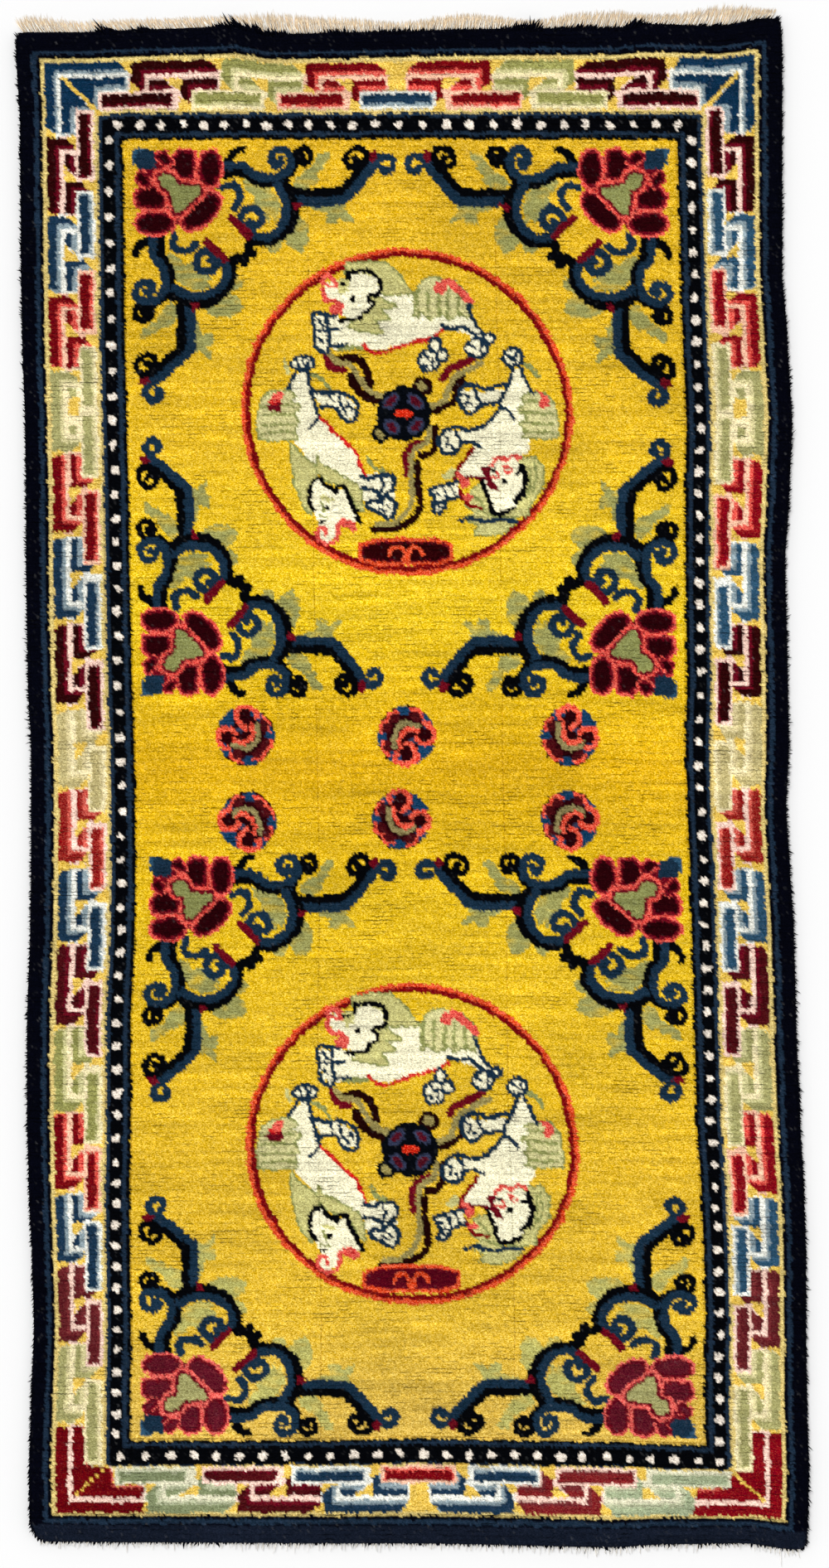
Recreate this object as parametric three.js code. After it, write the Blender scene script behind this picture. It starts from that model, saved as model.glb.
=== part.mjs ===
// A small hand-knotted wool rug, lying flat, with its warp ends as a short fringe at both ends.
// Millimetres, +Z up. +Y runs along the rug to its upper end, +X across it to the right.
// The origin is under the middle of the rug, on the surface that it lies on.

import * as THREE from 'three';

// Thickness of the rug: the top of the pile, the height where its edge starts to round over,
// how far the edge has rounded in at the top, and how uneven the worn pile is.
const PILE_TOP = 10;
const EDGE_WALL = 4.5;
const EDGE_ROUND = 5;
const WEAR_DEPTH = 0.45;
const CORNER_RADIUS = 14;

// Rows and columns of the body's faces, and how much closer they stand at the round corners.
const ROWS_ALONG = 50;
const COLUMNS_ACROSS = 22;
const ROW_CROWDING = 0.75;
const COLUMN_CROWDING = 0.5;

// The rug's nominal half width, where the search for a point of its outline starts.
const HALF_WIDTH = 385;

// The worn pile's soft waves, as the lengths over which they turn by one radian.
const WEAR_BANDS = { long: 61, short: 23, share: 0.6 };
const WEAR_PATCHES = { long: 140, wide: 83, narrow: 47, share: 0.4 };

// The two long edges: distance from the middle of the length, and the x of either edge there.
const LONG_EDGES = [
  { along: 770, left: -397, right: 369 },
  { along: 730, left: -397, right: 371 },
  { along: 656, left: -393, right: 371 },
  { along: 506, left: -392, right: 371 },
  { along: 448, left: -391, right: 376 },
  { along: 357, left: -388, right: 381 },
  { along: 282, left: -387, right: 378 },
  { along: 216, left: -387, right: 374 },
  { along: 91, left: -385, right: 377 },
  { along: 33, left: -382, right: 378 },
  { along: -29, left: -382, right: 375 },
  { along: -91, left: -382, right: 379 },
  { along: -158, left: -383, right: 383 },
  { along: -241, left: -386, right: 385 },
  { along: -340, left: -386, right: 389 },
  { along: -415, left: -384, right: 393 },
  { along: -481, left: -381, right: 395 },
  { along: -548, left: -379, right: 395 },
  { along: -631, left: -382, right: 396 },
  { along: -697, left: -384, right: 398 },
  { along: -775, left: -383, right: 396 },
];

// The two short edges: x, how far along the pile ends there, how far the warp ends reach past
// it, and how far their tips lean to the right.
const UPPER_END = [
  { across: -400, pileEnd: 749, reach: 12, lean: -4 },
  { across: -375, pileEnd: 749, reach: 15, lean: -4 },
  { across: -330, pileEnd: 749, reach: 10, lean: -3 },
  { across: -263, pileEnd: 752, reach: 10, lean: -3 },
  { across: -176, pileEnd: 755, reach: 10, lean: -3 },
  { across: -139, pileEnd: 747, reach: 19, lean: -2 },
  { across: -56, pileEnd: 749, reach: 13, lean: -1 },
  { across: -14, pileEnd: 750, reach: 9, lean: 0 },
  { across: 52, pileEnd: 752, reach: 15, lean: 1 },
  { across: 119, pileEnd: 753, reach: 8, lean: 1 },
  { across: 168, pileEnd: 753, reach: 15, lean: 2 },
  { across: 202, pileEnd: 753, reach: 16, lean: 2 },
  { across: 231, pileEnd: 757, reach: 10, lean: 2 },
  { across: 251, pileEnd: 757, reach: 10, lean: 3 },
  { across: 305, pileEnd: 755, reach: 19, lean: 4 },
  { across: 355, pileEnd: 763, reach: 9, lean: 3 },
  { across: 400, pileEnd: 762, reach: 8, lean: 3 },
];
const LOWER_END = [
  { across: -400, pileEnd: 762, reach: 5, lean: -1 },
  { across: -288, pileEnd: 763, reach: 5, lean: 0 },
  { across: -81, pileEnd: 764, reach: 5.5, lean: 0 },
  { across: 2, pileEnd: 764, reach: 5, lean: 0 },
  { across: 202, pileEnd: 768, reach: 6, lean: 1 },
  { across: 251, pileEnd: 765, reach: 5, lean: 0 },
  { across: 334, pileEnd: 764, reach: 5, lean: 0 },
  { across: 380, pileEnd: 770, reach: 6, lean: 1 },
  { across: 400, pileEnd: 770, reach: 5, lean: 1 },
];

// Fringe: the gap to the cloth, the woven strip at the roots, and the loose warp ends, which
// leave the strip a little above the surface and have come down to it at a share of their length.
const GAP = 0.3;
const UPPER_FRINGE = { name: 'fringe_top', strands: 150, webWidth: 3.5, webHeight: 2.6, tipShare: 0.55 };
const LOWER_FRINGE = { name: 'fringe_bottom', strands: 140, webWidth: 1.6, webHeight: 2.4, tipShare: 0.75 };
const ROOT_LIFT = 0.35;
const STRAND_WIDTH_SHARE = 0.62;
const STRAND_HEIGHT_SHARE = 0.72;
const BEND_SHARE = 0.45;

// How uneven the strands are: in length, as a share of it, and in lean, as a share of their
// pitch, with the number of radians from one strand to the next.
const LENGTH_UNEVEN = { share: 0.12, step: 2.4, slowStep: 0.73 };
const LEAN_UNEVEN = { share: 0.16, step: 1.9 };

// The value of one column of a table at a place between its rows, smoothly blended.
function sample(table, place, column, at) {
  const rising = table[1][place] > table[0][place];
  let row = 0;
  while (row < table.length - 2 && (rising ? at > table[row + 1][place] : at < table[row + 1][place])) {
    row += 1;
  }
  const span = table[row + 1][place] - table[row][place];
  const share = THREE.MathUtils.clamp((at - table[row][place]) / span, 0, 1);
  const eased = 0.5 * share + 0.5 * share * share * (3 - 2 * share);
  return THREE.MathUtils.lerp(table[row][column], table[row + 1][column], eased);
}

// How far a rounded corner draws an edge in, at a distance from the rug's end.
function cornerInset(distance) {
  if (distance >= CORNER_RADIUS) {
    return 0;
  }
  const rise = CORNER_RADIUS - distance;
  return CORNER_RADIUS - Math.sqrt(CORNER_RADIUS * CORNER_RADIUS - rise * rise);
}

// A point of the rug's outline grid: u runs from the left edge to the right one, v from the
// lower end to the upper one, and inset draws the whole outline in.
function outlinePoint(u, v, inset) {
  let x = THREE.MathUtils.lerp(-HALF_WIDTH, HALF_WIDTH, u);
  let y = 0;
  for (let pass = 0; pass < 3; pass += 1) {
    const low = -sample(LOWER_END, 'across', 'pileEnd', x) + inset;
    const high = sample(UPPER_END, 'across', 'pileEnd', x) - inset;
    y = THREE.MathUtils.lerp(low, high, v);
    const inward = inset + cornerInset(Math.min(y - low, high - y));
    const left = sample(LONG_EDGES, 'along', 'left', y) + inward;
    const right = sample(LONG_EDGES, 'along', 'right', y) - inward;
    x = THREE.MathUtils.lerp(left, right, u);
  }
  return [x, y];
}

// Height of the pile: worn a little lower in soft bands and patches.
function pileHeight(x, y) {
  const bands = Math.sin(y / WEAR_BANDS.long) * Math.sin(y / WEAR_BANDS.short);
  const slope = y / WEAR_PATCHES.long;
  const patches = Math.sin(x / WEAR_PATCHES.wide + slope) * Math.cos(x / WEAR_PATCHES.narrow - slope);
  return PILE_TOP + WEAR_DEPTH * (WEAR_BANDS.share * bands + WEAR_PATCHES.share * patches);
}

// Steps from 0 to 1 that are close together at both ends, where the corners are round.
function gradedSteps(count, crowding) {
  const even = (step) => step / count;
  const rounded = (step) => 0.5 - 0.5 * Math.cos((Math.PI * step) / count);
  return Array.from({ length: count + 1 }, (_, step) =>
    THREE.MathUtils.lerp(even(step), rounded(step), crowding));
}

// The body's columns and rows, as shares of its width and length.
const bodyColumns = gradedSteps(COLUMNS_ACROSS, COLUMN_CROWDING);
const bodyRows = gradedSteps(ROWS_ALONG, ROW_CROWDING);

// The edge of the body at one end: its corners, and how far along it lies at a place across.
function endLine(v) {
  const corners = bodyColumns.map((u) => outlinePoint(u, v, 0));
  const alongAt = (x) => {
    let step = 0;
    while (step < corners.length - 2 && x > corners[step + 1][0]) {
      step += 1;
    }
    const [[x0, y0], [x1, y1]] = [corners[step], corners[step + 1]];
    return y0 + ((y1 - y0) * (x - x0)) / (x1 - x0);
  };
  return { left: corners[0][0], right: corners[corners.length - 1][0], alongAt };
}

// A closed solid from its corner points and triangles.
function solid(name, points, triangles, material) {
  const geometry = new THREE.BufferGeometry();
  geometry.setAttribute('position', new THREE.Float32BufferAttribute(points.flat(), 3));
  geometry.setIndex(triangles.flat());
  geometry.computeVertexNormals();
  const mesh = new THREE.Mesh(geometry, material);
  mesh.name = name;
  return mesh;
}

// The woven body: a flat underside, upright sides and a rounded, slightly uneven pile.
function rugBody(material) {
  const us = bodyColumns;
  const vs = bodyRows;
  const points = [];
  const triangles = [];
  const grids = [];
  const addQuad = (a, b, c, d) => triangles.push([a, b, c], [a, c, d]);

  // One grid of points on the underside and one on the pile.
  for (const side of ['underside', 'pile']) {
    const inset = side === 'pile' ? EDGE_ROUND : 0;
    grids.push(vs.map((v) => us.map((u) => {
      const [x, y] = outlinePoint(u, v, inset);
      points.push([x, y, side === 'pile' ? pileHeight(x, y) : 0]);
      return points.length - 1;
    })));
  }
  const [underside, pile] = grids;
  for (let row = 0; row < ROWS_ALONG; row += 1) {
    for (let column = 0; column < COLUMNS_ACROSS; column += 1) {
      const corners = [[row, column], [row, column + 1], [row + 1, column + 1], [row + 1, column]];
      addQuad(...corners.map(([r, c]) => pile[r][c]));
      addQuad(...corners.reverse().map(([r, c]) => underside[r][c]));
    }
  }

  // The rim, level by level from the underside to the pile, in a ring around the outline.
  const ring = [];
  us.forEach((_, column) => ring.push([0, column]));
  vs.slice(1).forEach((_, row) => ring.push([row + 1, COLUMNS_ACROSS]));
  us.slice(1).forEach((_, column) => ring.push([ROWS_ALONG, COLUMNS_ACROSS - 1 - column]));
  vs.slice(1, -1).forEach((_, row) => ring.push([ROWS_ALONG - 1 - row, 0]));
  const levels = [ring.map(([row, column]) => underside[row][column])];
  for (const turn of [0, 0.5]) {
    const inset = EDGE_ROUND * (1 - Math.cos((turn * Math.PI) / 2));
    levels.push(ring.map(([row, column]) => {
      const [x, y] = outlinePoint(us[column], vs[row], inset);
      points.push([x, y, EDGE_WALL + (pileHeight(x, y) - EDGE_WALL) * Math.sin((turn * Math.PI) / 2)]);
      return points.length - 1;
    }));
  }
  levels.push(ring.map(([row, column]) => pile[row][column]));
  for (let level = 0; level < levels.length - 1; level += 1) {
    for (let step = 0; step < ring.length; step += 1) {
      const next = (step + 1) % ring.length;
      addQuad(levels[level][step], levels[level][next], levels[level + 1][next], levels[level + 1][step]);
    }
  }
  return solid('rug_body', points, triangles, material);
}

// One fringe: a woven strip along the end of the cloth, and three-sided strands that leave its
// outer wall and come to rest on the surface. Built towards +Y, and turned over for the lower end.
function fringe({ name, strands, webWidth, webHeight, tipShare }, ends, towards, material) {
  const { left, right, alongAt } = endLine(towards > 0 ? 1 : 0);
  const edgeAt = (x) => alongAt(x) * towards + GAP;
  const pitch = (right - left) / strands;
  const width = pitch * STRAND_WIDTH_SHARE;
  const height = webHeight * STRAND_HEIGHT_SHARE;
  const points = [];
  const triangles = [];
  const addPoint = (x, y, z) => points.push([x, y * towards, z]) - 1;
  const addTriangle = (a, b, c) => triangles.push(towards > 0 ? [a, c, b] : [a, b, c]);
  const addQuad = (a, b, c, d) => {
    addTriangle(a, b, c);
    addTriangle(a, c, d);
  };

  // A section of the strip: inner wall, top and outer wall, at one place across the rug.
  const stations = Array.from({ length: strands + 1 }, (_, step) => {
    const x = left + pitch * step;
    const inner = edgeAt(x);
    return {
      innerLow: addPoint(x, inner, 0),
      innerHigh: addPoint(x, inner, webHeight),
      outerHigh: addPoint(x, inner + webWidth, webHeight),
      outerLow: addPoint(x, inner + webWidth, 0),
    };
  });
  const first = stations[0];
  const last = stations[strands];
  addQuad(first.innerLow, first.outerLow, first.outerHigh, first.innerHigh);
  addQuad(last.innerLow, last.innerHigh, last.outerHigh, last.outerLow);

  for (let strand = 0; strand < strands; strand += 1) {
    const a = stations[strand];
    const b = stations[strand + 1];
    addQuad(a.innerLow, b.innerLow, b.outerLow, a.outerLow);
    addQuad(a.innerLow, a.innerHigh, b.innerHigh, b.innerLow);
    addQuad(a.innerHigh, a.outerHigh, b.outerHigh, b.innerHigh);

    // The root of the strand is a triangle in the outer wall.
    const x = left + pitch * (strand + 0.5);
    const wallBend = (edgeAt(x + pitch / 2) - edgeAt(x - pitch / 2)) / pitch;
    const wall = (edgeAt(x + pitch / 2) + edgeAt(x - pitch / 2)) / 2 + webWidth;
    const uneven = Math.sin(strand * LENGTH_UNEVEN.step) * Math.cos(strand * LENGTH_UNEVEN.slowStep);
    const reach = sample(ends, 'across', 'reach', x) * (1 + LENGTH_UNEVEN.share * uneven) - webWidth;
    const sway = LEAN_UNEVEN.share * pitch * Math.sin(strand * LEAN_UNEVEN.step);
    const lean = sample(ends, 'across', 'lean', x) + sway;
    const section = (share, lift, size) => {
      const middle = x + lean * share * share;
      const y = (offset) => wall + reach * share + (share === 0 ? wallBend * offset : 0);
      const half = (width * size) / 2;
      return [
        addPoint(middle - half, y(-half), lift),
        addPoint(middle + half, y(half), lift),
        addPoint(middle, y(0), lift + height * size),
      ];
    };
    const sections = [section(0, ROOT_LIFT, 1), section(BEND_SHARE, 0, 1), section(1, 0, tipShare)];
    const [rootLeft, rootRight, rootTop] = sections[0];
    addTriangle(a.outerLow, b.outerLow, rootRight);
    addTriangle(a.outerLow, rootRight, rootLeft);
    addTriangle(a.outerLow, rootLeft, a.outerHigh);
    addTriangle(rootLeft, rootTop, a.outerHigh);
    addTriangle(rootTop, b.outerHigh, a.outerHigh);
    addTriangle(rootTop, rootRight, b.outerHigh);
    addTriangle(rootRight, b.outerLow, b.outerHigh);
    for (let part = 0; part < sections.length - 1; part += 1) {
      const near = sections[part];
      const far = sections[part + 1];
      for (let side = 0; side < 3; side += 1) {
        const next = (side + 1) % 3;
        addQuad(near[side], near[next], far[next], far[side]);
      }
    }
    const [tipLeft, tipRight, tipTop] = sections[sections.length - 1];
    addTriangle(tipLeft, tipRight, tipTop);
  }
  return solid(name, points, triangles, material);
}

const wool = new THREE.MeshStandardMaterial({ color: '#c9a23a', roughness: 0.95, metalness: 0 });
const cotton = new THREE.MeshStandardMaterial({ color: '#d8cbb0', roughness: 0.9, metalness: 0 });

const rug = new THREE.Group();
rug.add(rugBody(wool));
rug.add(fringe(UPPER_FRINGE, UPPER_END, 1, cotton));
rug.add(fringe(LOWER_FRINGE, LOWER_END, -1, cotton));

// The rug is centred on the origin by its own outermost points.
const bounds = new THREE.Box3().setFromObject(rug);
const middle = bounds.getCenter(new THREE.Vector3());
rug.position.set(-middle.x, -middle.y, -bounds.min.z);
rug.updateMatrixWorld(true);

export default rug;
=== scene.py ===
"""A small hand-knotted wool rug from Ningxia, laid flat and seen from straight above.

The pile follows a knotting chart: borders, flower brackets, medallions and round flowers are
drawn on it in dyes, and every knot of the chart becomes a small tuft of the pile. A place on the
chart is counted in knots, across from the left edge and down from the upper end of the pile.
"""

import math

import bpy
import numpy as np
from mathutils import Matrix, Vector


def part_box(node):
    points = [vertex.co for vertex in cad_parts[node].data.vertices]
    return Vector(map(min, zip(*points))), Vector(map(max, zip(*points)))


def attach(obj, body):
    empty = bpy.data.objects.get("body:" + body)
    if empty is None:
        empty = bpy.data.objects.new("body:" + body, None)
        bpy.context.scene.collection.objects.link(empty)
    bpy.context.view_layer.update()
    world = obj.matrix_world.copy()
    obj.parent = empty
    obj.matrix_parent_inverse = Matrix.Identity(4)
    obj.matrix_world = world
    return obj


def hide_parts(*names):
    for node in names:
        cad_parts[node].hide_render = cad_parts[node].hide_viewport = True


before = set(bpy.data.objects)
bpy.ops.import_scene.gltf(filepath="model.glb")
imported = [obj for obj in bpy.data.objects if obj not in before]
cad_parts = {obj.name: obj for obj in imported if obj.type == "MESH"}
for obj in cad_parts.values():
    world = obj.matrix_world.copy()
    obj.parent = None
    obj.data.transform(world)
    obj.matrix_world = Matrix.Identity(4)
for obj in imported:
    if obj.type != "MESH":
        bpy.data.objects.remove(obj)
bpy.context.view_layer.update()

# Knots across and down, and the chart's cells for each knot.
KNOTS_ACROSS = 204
KNOTS_DOWN = 400
CELLS = 2

# How far in from the edges of the pile the rows of pearls run, in knots.
PEARLS_IN = 24
PEARLS_FROM_TOP = 25
PEARLS_FROM_BOTTOM = 22.5

MM = 0.001

# The mean size of a knot, and heights above the floor: the pile's top and underside, and the two
# sides of the woven back. All are in metres, as are the sizes below that name no other unit.
KNOT = 0.0038
PILE_TOP = 0.0100
PILE_ROOT = 0.0026
BACK_TOP = 0.0024
BACK_LOW = 0.0003

# The two long edges in millimetres: along the rug, left edge, left pearls, right pearls, right edge.
LONG_EDGES = np.array((
    (-775, -383, -296.5, 309.5, 396),
    (-697, -384, -296.5, 309.5, 398),
    (-631, -382, -296.5, 307.5, 396),
    (-548, -379, -295.5, 308, 395),
    (-481, -381, -296.5, 306.5, 395),
    (-415, -384, -297, 304, 393),
    (-340, -386, -295.5, 299, 389),
    (-241, -386, -295.5, 296.5, 385),
    (-158, -383, -291.5, 294, 383),
    (-91, -382, -290.5, 292, 379),
    (-29, -382, -291, 289.5, 375),
    (33, -382, -292, 287.5, 378),
    (91, -385, -294, 289, 377),
    (216, -387, -296.5, 287.5, 374),
    (282, -387, -297.5, 287.5, 378),
    (357, -388, -299.5, 288.5, 381),
    (448, -391, -301.5, 284.5, 376),
    (506, -392, -302, 283, 371),
    (656, -393, -304, 279, 371),
    (730, -397, -304, 279, 371),
    (770, -397, -304, 279, 369),
))
LEFT_EDGE, LEFT_PEARLS, RIGHT_PEARLS, RIGHT_EDGE = 1, 2, 3, 4

# The two short ends in millimetres: across the rug, end of the pile, row of pearls, how far the
# warp ends reach past the pile, and how far their tips lean to the right.
UPPER_END = np.array((
    (-400, 749, 654, 12, -4),
    (-375, 749, 654, 15, -4),
    (-330, 749, 654, 10, -3),
    (-263, 752, 655.5, 10, -3),
    (-176, 755, 656, 10, -3),
    (-139, 747, 656, 19, -2),
    (-56, 749, 656, 13, -1),
    (-14, 750, 656.5, 9, 0),
    (52, 752, 656, 15, 1),
    (119, 753, 656, 8, 1),
    (168, 753, 656, 15, 2),
    (202, 753, 656, 16, 2),
    (231, 757, 655.5, 10, 2),
    (251, 757, 655.5, 10, 3),
    (305, 755, 655, 19, 4),
    (355, 763, 655, 9, 3),
    (400, 762, 655, 8, 3),
))
LOWER_END = np.array((
    (-400, -762, -678, 5, -1),
    (-288, -763, -678, 5, 0),
    (-81, -764, -677.5, 5.5, 0),
    (2, -764, -675.5, 5, 0),
    (202, -768, -679, 6, 1),
    (251, -765, -681.5, 5, 0),
    (334, -764, -684, 5, 0),
    (380, -770, -685, 6, 1),
    (400, -770, -685, 5, 1),
))
PILE_END, PEARL_ROW, REACH, LEAN = 1, 2, 3, 4

# Dyes, as they look in daylight, in red, green and blue up to 255.
DYES = {
    "navy": (3, 4, 13),
    "worn_navy": (20, 26, 39),
    "line_blue": (30, 45, 62),
    "black": (3, 4, 7),
    "field": (229, 187, 52),
    "yellow_line": (222, 199, 128),
    "fret_yellow": (233, 196, 97),
    "cream": (238, 238, 227),
    "pearl": (240, 228, 213),
    "blue": (30, 53, 75),
    "light_blue": (140, 156, 162),
    "maroon": (44, 7, 8),
    "crimson": (103, 20, 33),
    "pink_cream": (249, 213, 196),
    "dull_maroon": (73, 18, 22),
    "faded_maroon": (96, 36, 39),
    "faded_crimson": (116, 48, 50),
    "red": (114, 13, 19),
    "coral": (222, 96, 86),
    "peach": (248, 197, 168),
    "faded_red": (144, 42, 38),
    "faded_coral": (208, 100, 88),
    "green": (149, 148, 87),
    "light_green": (206, 200, 146),
    "pale_cream": (240, 226, 180),
    "faded_green": (188, 174, 122),
    "faded_light_green": (212, 197, 148),
    "worn_green": (165, 161, 107),
    "worn_light_green": (214, 204, 152),
    "worn_blue": (48, 80, 104),
    "worn_red": (134, 20, 28),
    "rust": (124, 40, 41),
    "corner_red": (108, 10, 17),
    "sea_green": (132, 141, 104),
    "light_sea_green": (188, 192, 158),
    "pale_sea_green": (165, 176, 141),
    "sea_cream": (228, 224, 194),
    "stem_blue": (26, 46, 64),
    "leaf": (155, 153, 92),
    "pale_leaf": (182, 177, 104),
    "bud": (105, 19, 30),
    "petal": (40, 3, 8),
    "petal_rim": (226, 96, 86),
    "faded_petal": (95, 29, 40),
    "faded_rim": (227, 106, 98),
    "heart": (138, 141, 86),
    "ring_red": (120, 13, 16),
    "ring_coral": (222, 90, 62),
    "lion_cream": (246, 240, 206),
    "plume": (208, 202, 146),
    "plume_streak": (142, 146, 88),
    "mane": (200, 194, 128),
    "ribbon_green": (155, 142, 87),
    "ribbon_maroon": (30, 6, 5),
    "ball_navy": (5, 8, 14),
    "ball_petal": (81, 19, 31),
    "ball_rim": (52, 58, 82),
    "ball_heart": (224, 62, 43),
    "cartouche": (42, 4, 7),
    "faded_cartouche": (85, 12, 26),
    "khaki": (142, 130, 86),
    "round_coral": (232, 98, 80),
    "bright_blue": (28, 62, 94),
    "belly_red": (205, 52, 48),
    "corner_blue": (20, 49, 76),
}
DYE_NAMES = list(DYES)

# The yellow ground changes tone along the rug: knots down, and the tone there.
FIELD_TONES = (
    (30, (225, 182, 60)),
    (110, (230, 189, 60)),
    (155, (235, 199, 56)),
    (195, (221, 175, 42)),
    (230, (231, 192, 54)),
    (300, (224, 184, 64)),
    (340, (228, 189, 72)),
    (370, (221, 186, 92)),
)

# How far the points of the chart wander from their place, in knots: in soft waves that change
# over a few knots, and each on its own.
WAVE_WANDER = 0.15
WAVE_PITCH = 1.8
POINT_WANDER = 0.13

random = np.random.default_rng(4908)


def linear(colour):
    """The linear value of a colour that is given as it looks."""
    share = np.asarray(colour, float) / 255
    return np.where(share <= 0.04045, share / 12.92, ((share + 0.055) / 1.055) ** 2.4)


def smooth_curve(places, steps=5):
    """Points on a smooth curve through the places."""
    places = np.asarray(places, float)
    if len(places) < 3:
        return places
    ends = np.concatenate((2 * places[:1] - places[1:2], places, 2 * places[-1:] - places[-2:-1]))
    share = (np.arange(steps) / steps)[:, None]
    pieces = []
    for before, start, end, after in zip(ends, ends[1:], ends[2:], ends[3:]):
        pieces.append(0.5 * (
            2 * start
            + (end - before) * share
            + (2 * before - 5 * start + 4 * end - after) * share**2
            + (3 * start - before - 3 * end + after) * share**3
        ))
    return np.concatenate((*pieces, places[-1:]))


def soft_noise(down_pitch, across_pitch):
    """Smooth random values for every point of the chart, which change over that many knots."""
    down = np.arange(KNOTS_DOWN * CELLS + 1) / CELLS / down_pitch
    across = np.arange(KNOTS_ACROSS * CELLS + 1) / CELLS / across_pitch
    coarse = random.normal(0, 1, (int(down[-1]) + 2, int(across[-1]) + 2))
    row, column = down.astype(int), across.astype(int)
    below, beside = (down - row)[:, None], (across - column)[None, :]
    upper = coarse[row][:, column] * (1 - beside) + coarse[row][:, column + 1] * beside
    lower = coarse[row + 1][:, column] * (1 - beside) + coarse[row + 1][:, column + 1] * beside
    return upper * (1 - below) + lower * below


class Chart:
    """The knotting chart: a dye for each point of a fine grid, and the points' wandering places."""

    def __init__(self):
        shape = (KNOTS_DOWN * CELLS + 1, KNOTS_ACROSS * CELLS + 1)
        down, across = np.indices(shape) / CELLS
        self.across = across + self.wander(shape)
        self.down = down + self.wander(shape)
        self.dye = np.zeros(shape, np.int16)

    @staticmethod
    def wander(shape):
        """How far every point has moved in one direction."""
        return WAVE_WANDER * soft_noise(WAVE_PITCH, WAVE_PITCH) + random.normal(0, POINT_WANDER, shape)

    def window(self, places, margin):
        """The part of the chart around some places."""
        low = np.floor((places.min(axis=0) - margin) * CELLS).astype(int).clip(0)
        high = np.ceil((places.max(axis=0) + margin) * CELLS).astype(int)
        return slice(low[1], high[1]), slice(low[0], high[0])

    def fill(self, corners, dye):
        """Dyes the inside of an outline."""
        area = self.window(corners, margin=1)
        across, down = self.across[area], self.down[area]
        inside = np.zeros(across.shape, bool)
        for (x0, y0), (x1, y1) in zip(corners, np.roll(corners, -1, axis=0)):
            if y0 != y1:
                crosses = (y0 > down) != (y1 > down)
                inside ^= crosses & (across < x0 + (down - y0) * (x1 - x0) / (y1 - y0))
        self.dye[area][inside] = DYE_NAMES.index(dye)

    def stroke(self, places, width, dye):
        """Dyes a line of that width."""
        area = self.window(places, margin=width)
        place = np.stack((self.across[area], self.down[area]), axis=-1)
        nearest = np.full(place.shape[:-1], np.inf)
        for start, end in zip(places, places[1:]):
            way = end - start
            share = np.clip(((place - start) @ way) / max(way @ way, 1e-9), 0, 1)
            away = np.linalg.norm(place - start - share[..., None] * way, axis=-1)
            nearest = np.minimum(nearest, away)
        self.dye[area][nearest < width / 2] = DYE_NAMES.index(dye)


OVAL_CORNERS = 40


class Pen:
    """Draws in a motif's own coordinates, which it turns, mirrors, scales and moves."""

    def __init__(self, chart, origin=(0, 0), along=(1, 0), away=(0, 1), renamed=()):
        self.chart = chart
        self.origin = np.array(origin, float)
        self.axes = np.array((along, away), float)
        self.size = math.sqrt(abs(np.linalg.det(self.axes)))
        self.renamed = dict(renamed)

    def on_chart(self, places):
        """Places of the motif in knots of the chart."""
        return self.origin + np.asarray(places, float) @ self.axes

    def area(self, dye, *corners, rims=()):
        """An outline with straight sides, filled, with rims of other dyes around it."""
        corners = self.on_chart(corners)
        around = np.concatenate((corners, corners[:1]))
        for rim_dye, width in rims:
            self.chart.stroke(around, 2 * width * self.size, self.renamed.get(rim_dye, rim_dye))
        self.chart.fill(corners, self.renamed.get(dye, dye))

    def box(self, dye, start, end):
        """An oblong between two opposite corners, filled."""
        self.area(dye, start, (end[0], start[1]), end, (start[0], end[1]))

    def line(self, dye, width, *places):
        """A smooth line through the places."""
        curve = smooth_curve(self.on_chart(places))
        self.chart.stroke(curve, width * self.size, self.renamed.get(dye, dye))

    def oval(self, dye, centre, radii, turn=0, rims=()):
        """An oval, turned by an angle in degrees."""
        angle = np.linspace(0, 2 * math.pi, OVAL_CORNERS, endpoint=False)
        flat = np.stack((np.cos(angle) * radii[0], np.sin(angle) * radii[1]), axis=-1)
        cosine, sine = math.cos(math.radians(turn)), math.sin(math.radians(turn))
        turned = flat @ np.array(((cosine, sine), (-sine, cosine)))
        self.area(dye, *(turned + centre), rims=rims)

    def mirrored(self, across):
        """A pen that draws the other way round about a line across the motif's first direction."""
        return Pen(self.chart, self.on_chart((2 * across, 0)), -self.axes[0], self.axes[1], self.renamed)


# The bands between the rug's edge and its field, from the outside in: dye, and where the band
# starts from the sides, from the top and from the bottom.
BANDS = (
    ("navy", 0, 0, 0),
    ("line_blue", 4, 5.2, 4.6),
    ("navy", 5.2, 6, 5.8),
    ("yellow_line", 6.2, 7.2, 6.8),
    ("fret_yellow", 7.4, 8.3, 7.8),
    ("yellow_line", 20, 21, 18.7),
    ("line_blue", 21.1, 22, 20),
    ("black", 22.2, 23, 20.3),
    ("line_blue", 25.6, 27, 25),
    ("black", 26.9, 28, 26),
    ("field", 27.9, 29, 26.6),
)

# How wide the navy pile of the lower end is worn pale, in knots.
WORN_HEM = 4.2

# The pearls along each row of them: the number of a pearl, and its place in knots. Between these
# the pearls are evenly spaced.
PEARLS_DOWN_LEFT = (
    (0, 28.8),
    (9, 89.9),
    (15, 129.2),
    (20, 160),
    (28, 213.5),
    (42, 299.7),
    (55, 371.7),
)
PEARLS_DOWN_RIGHT = (
    (0, 29.2),
    (11, 94.2),
    (15, 116.5),
    (24, 169.4),
    (32, 218.8),
    (46, 299.3),
    (59, 372.2),
)
PEARLS_ACROSS_TOP = (
    (0, 26.8),
    (11, 89.2),
    (18, 133.5),
    (25, 176.8),
)
PEARLS_ACROSS_BOTTOM = (
    (0, 25.1),
    (2, 38.3),
    (13, 103.1),
    (26, 180.2),
)

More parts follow.
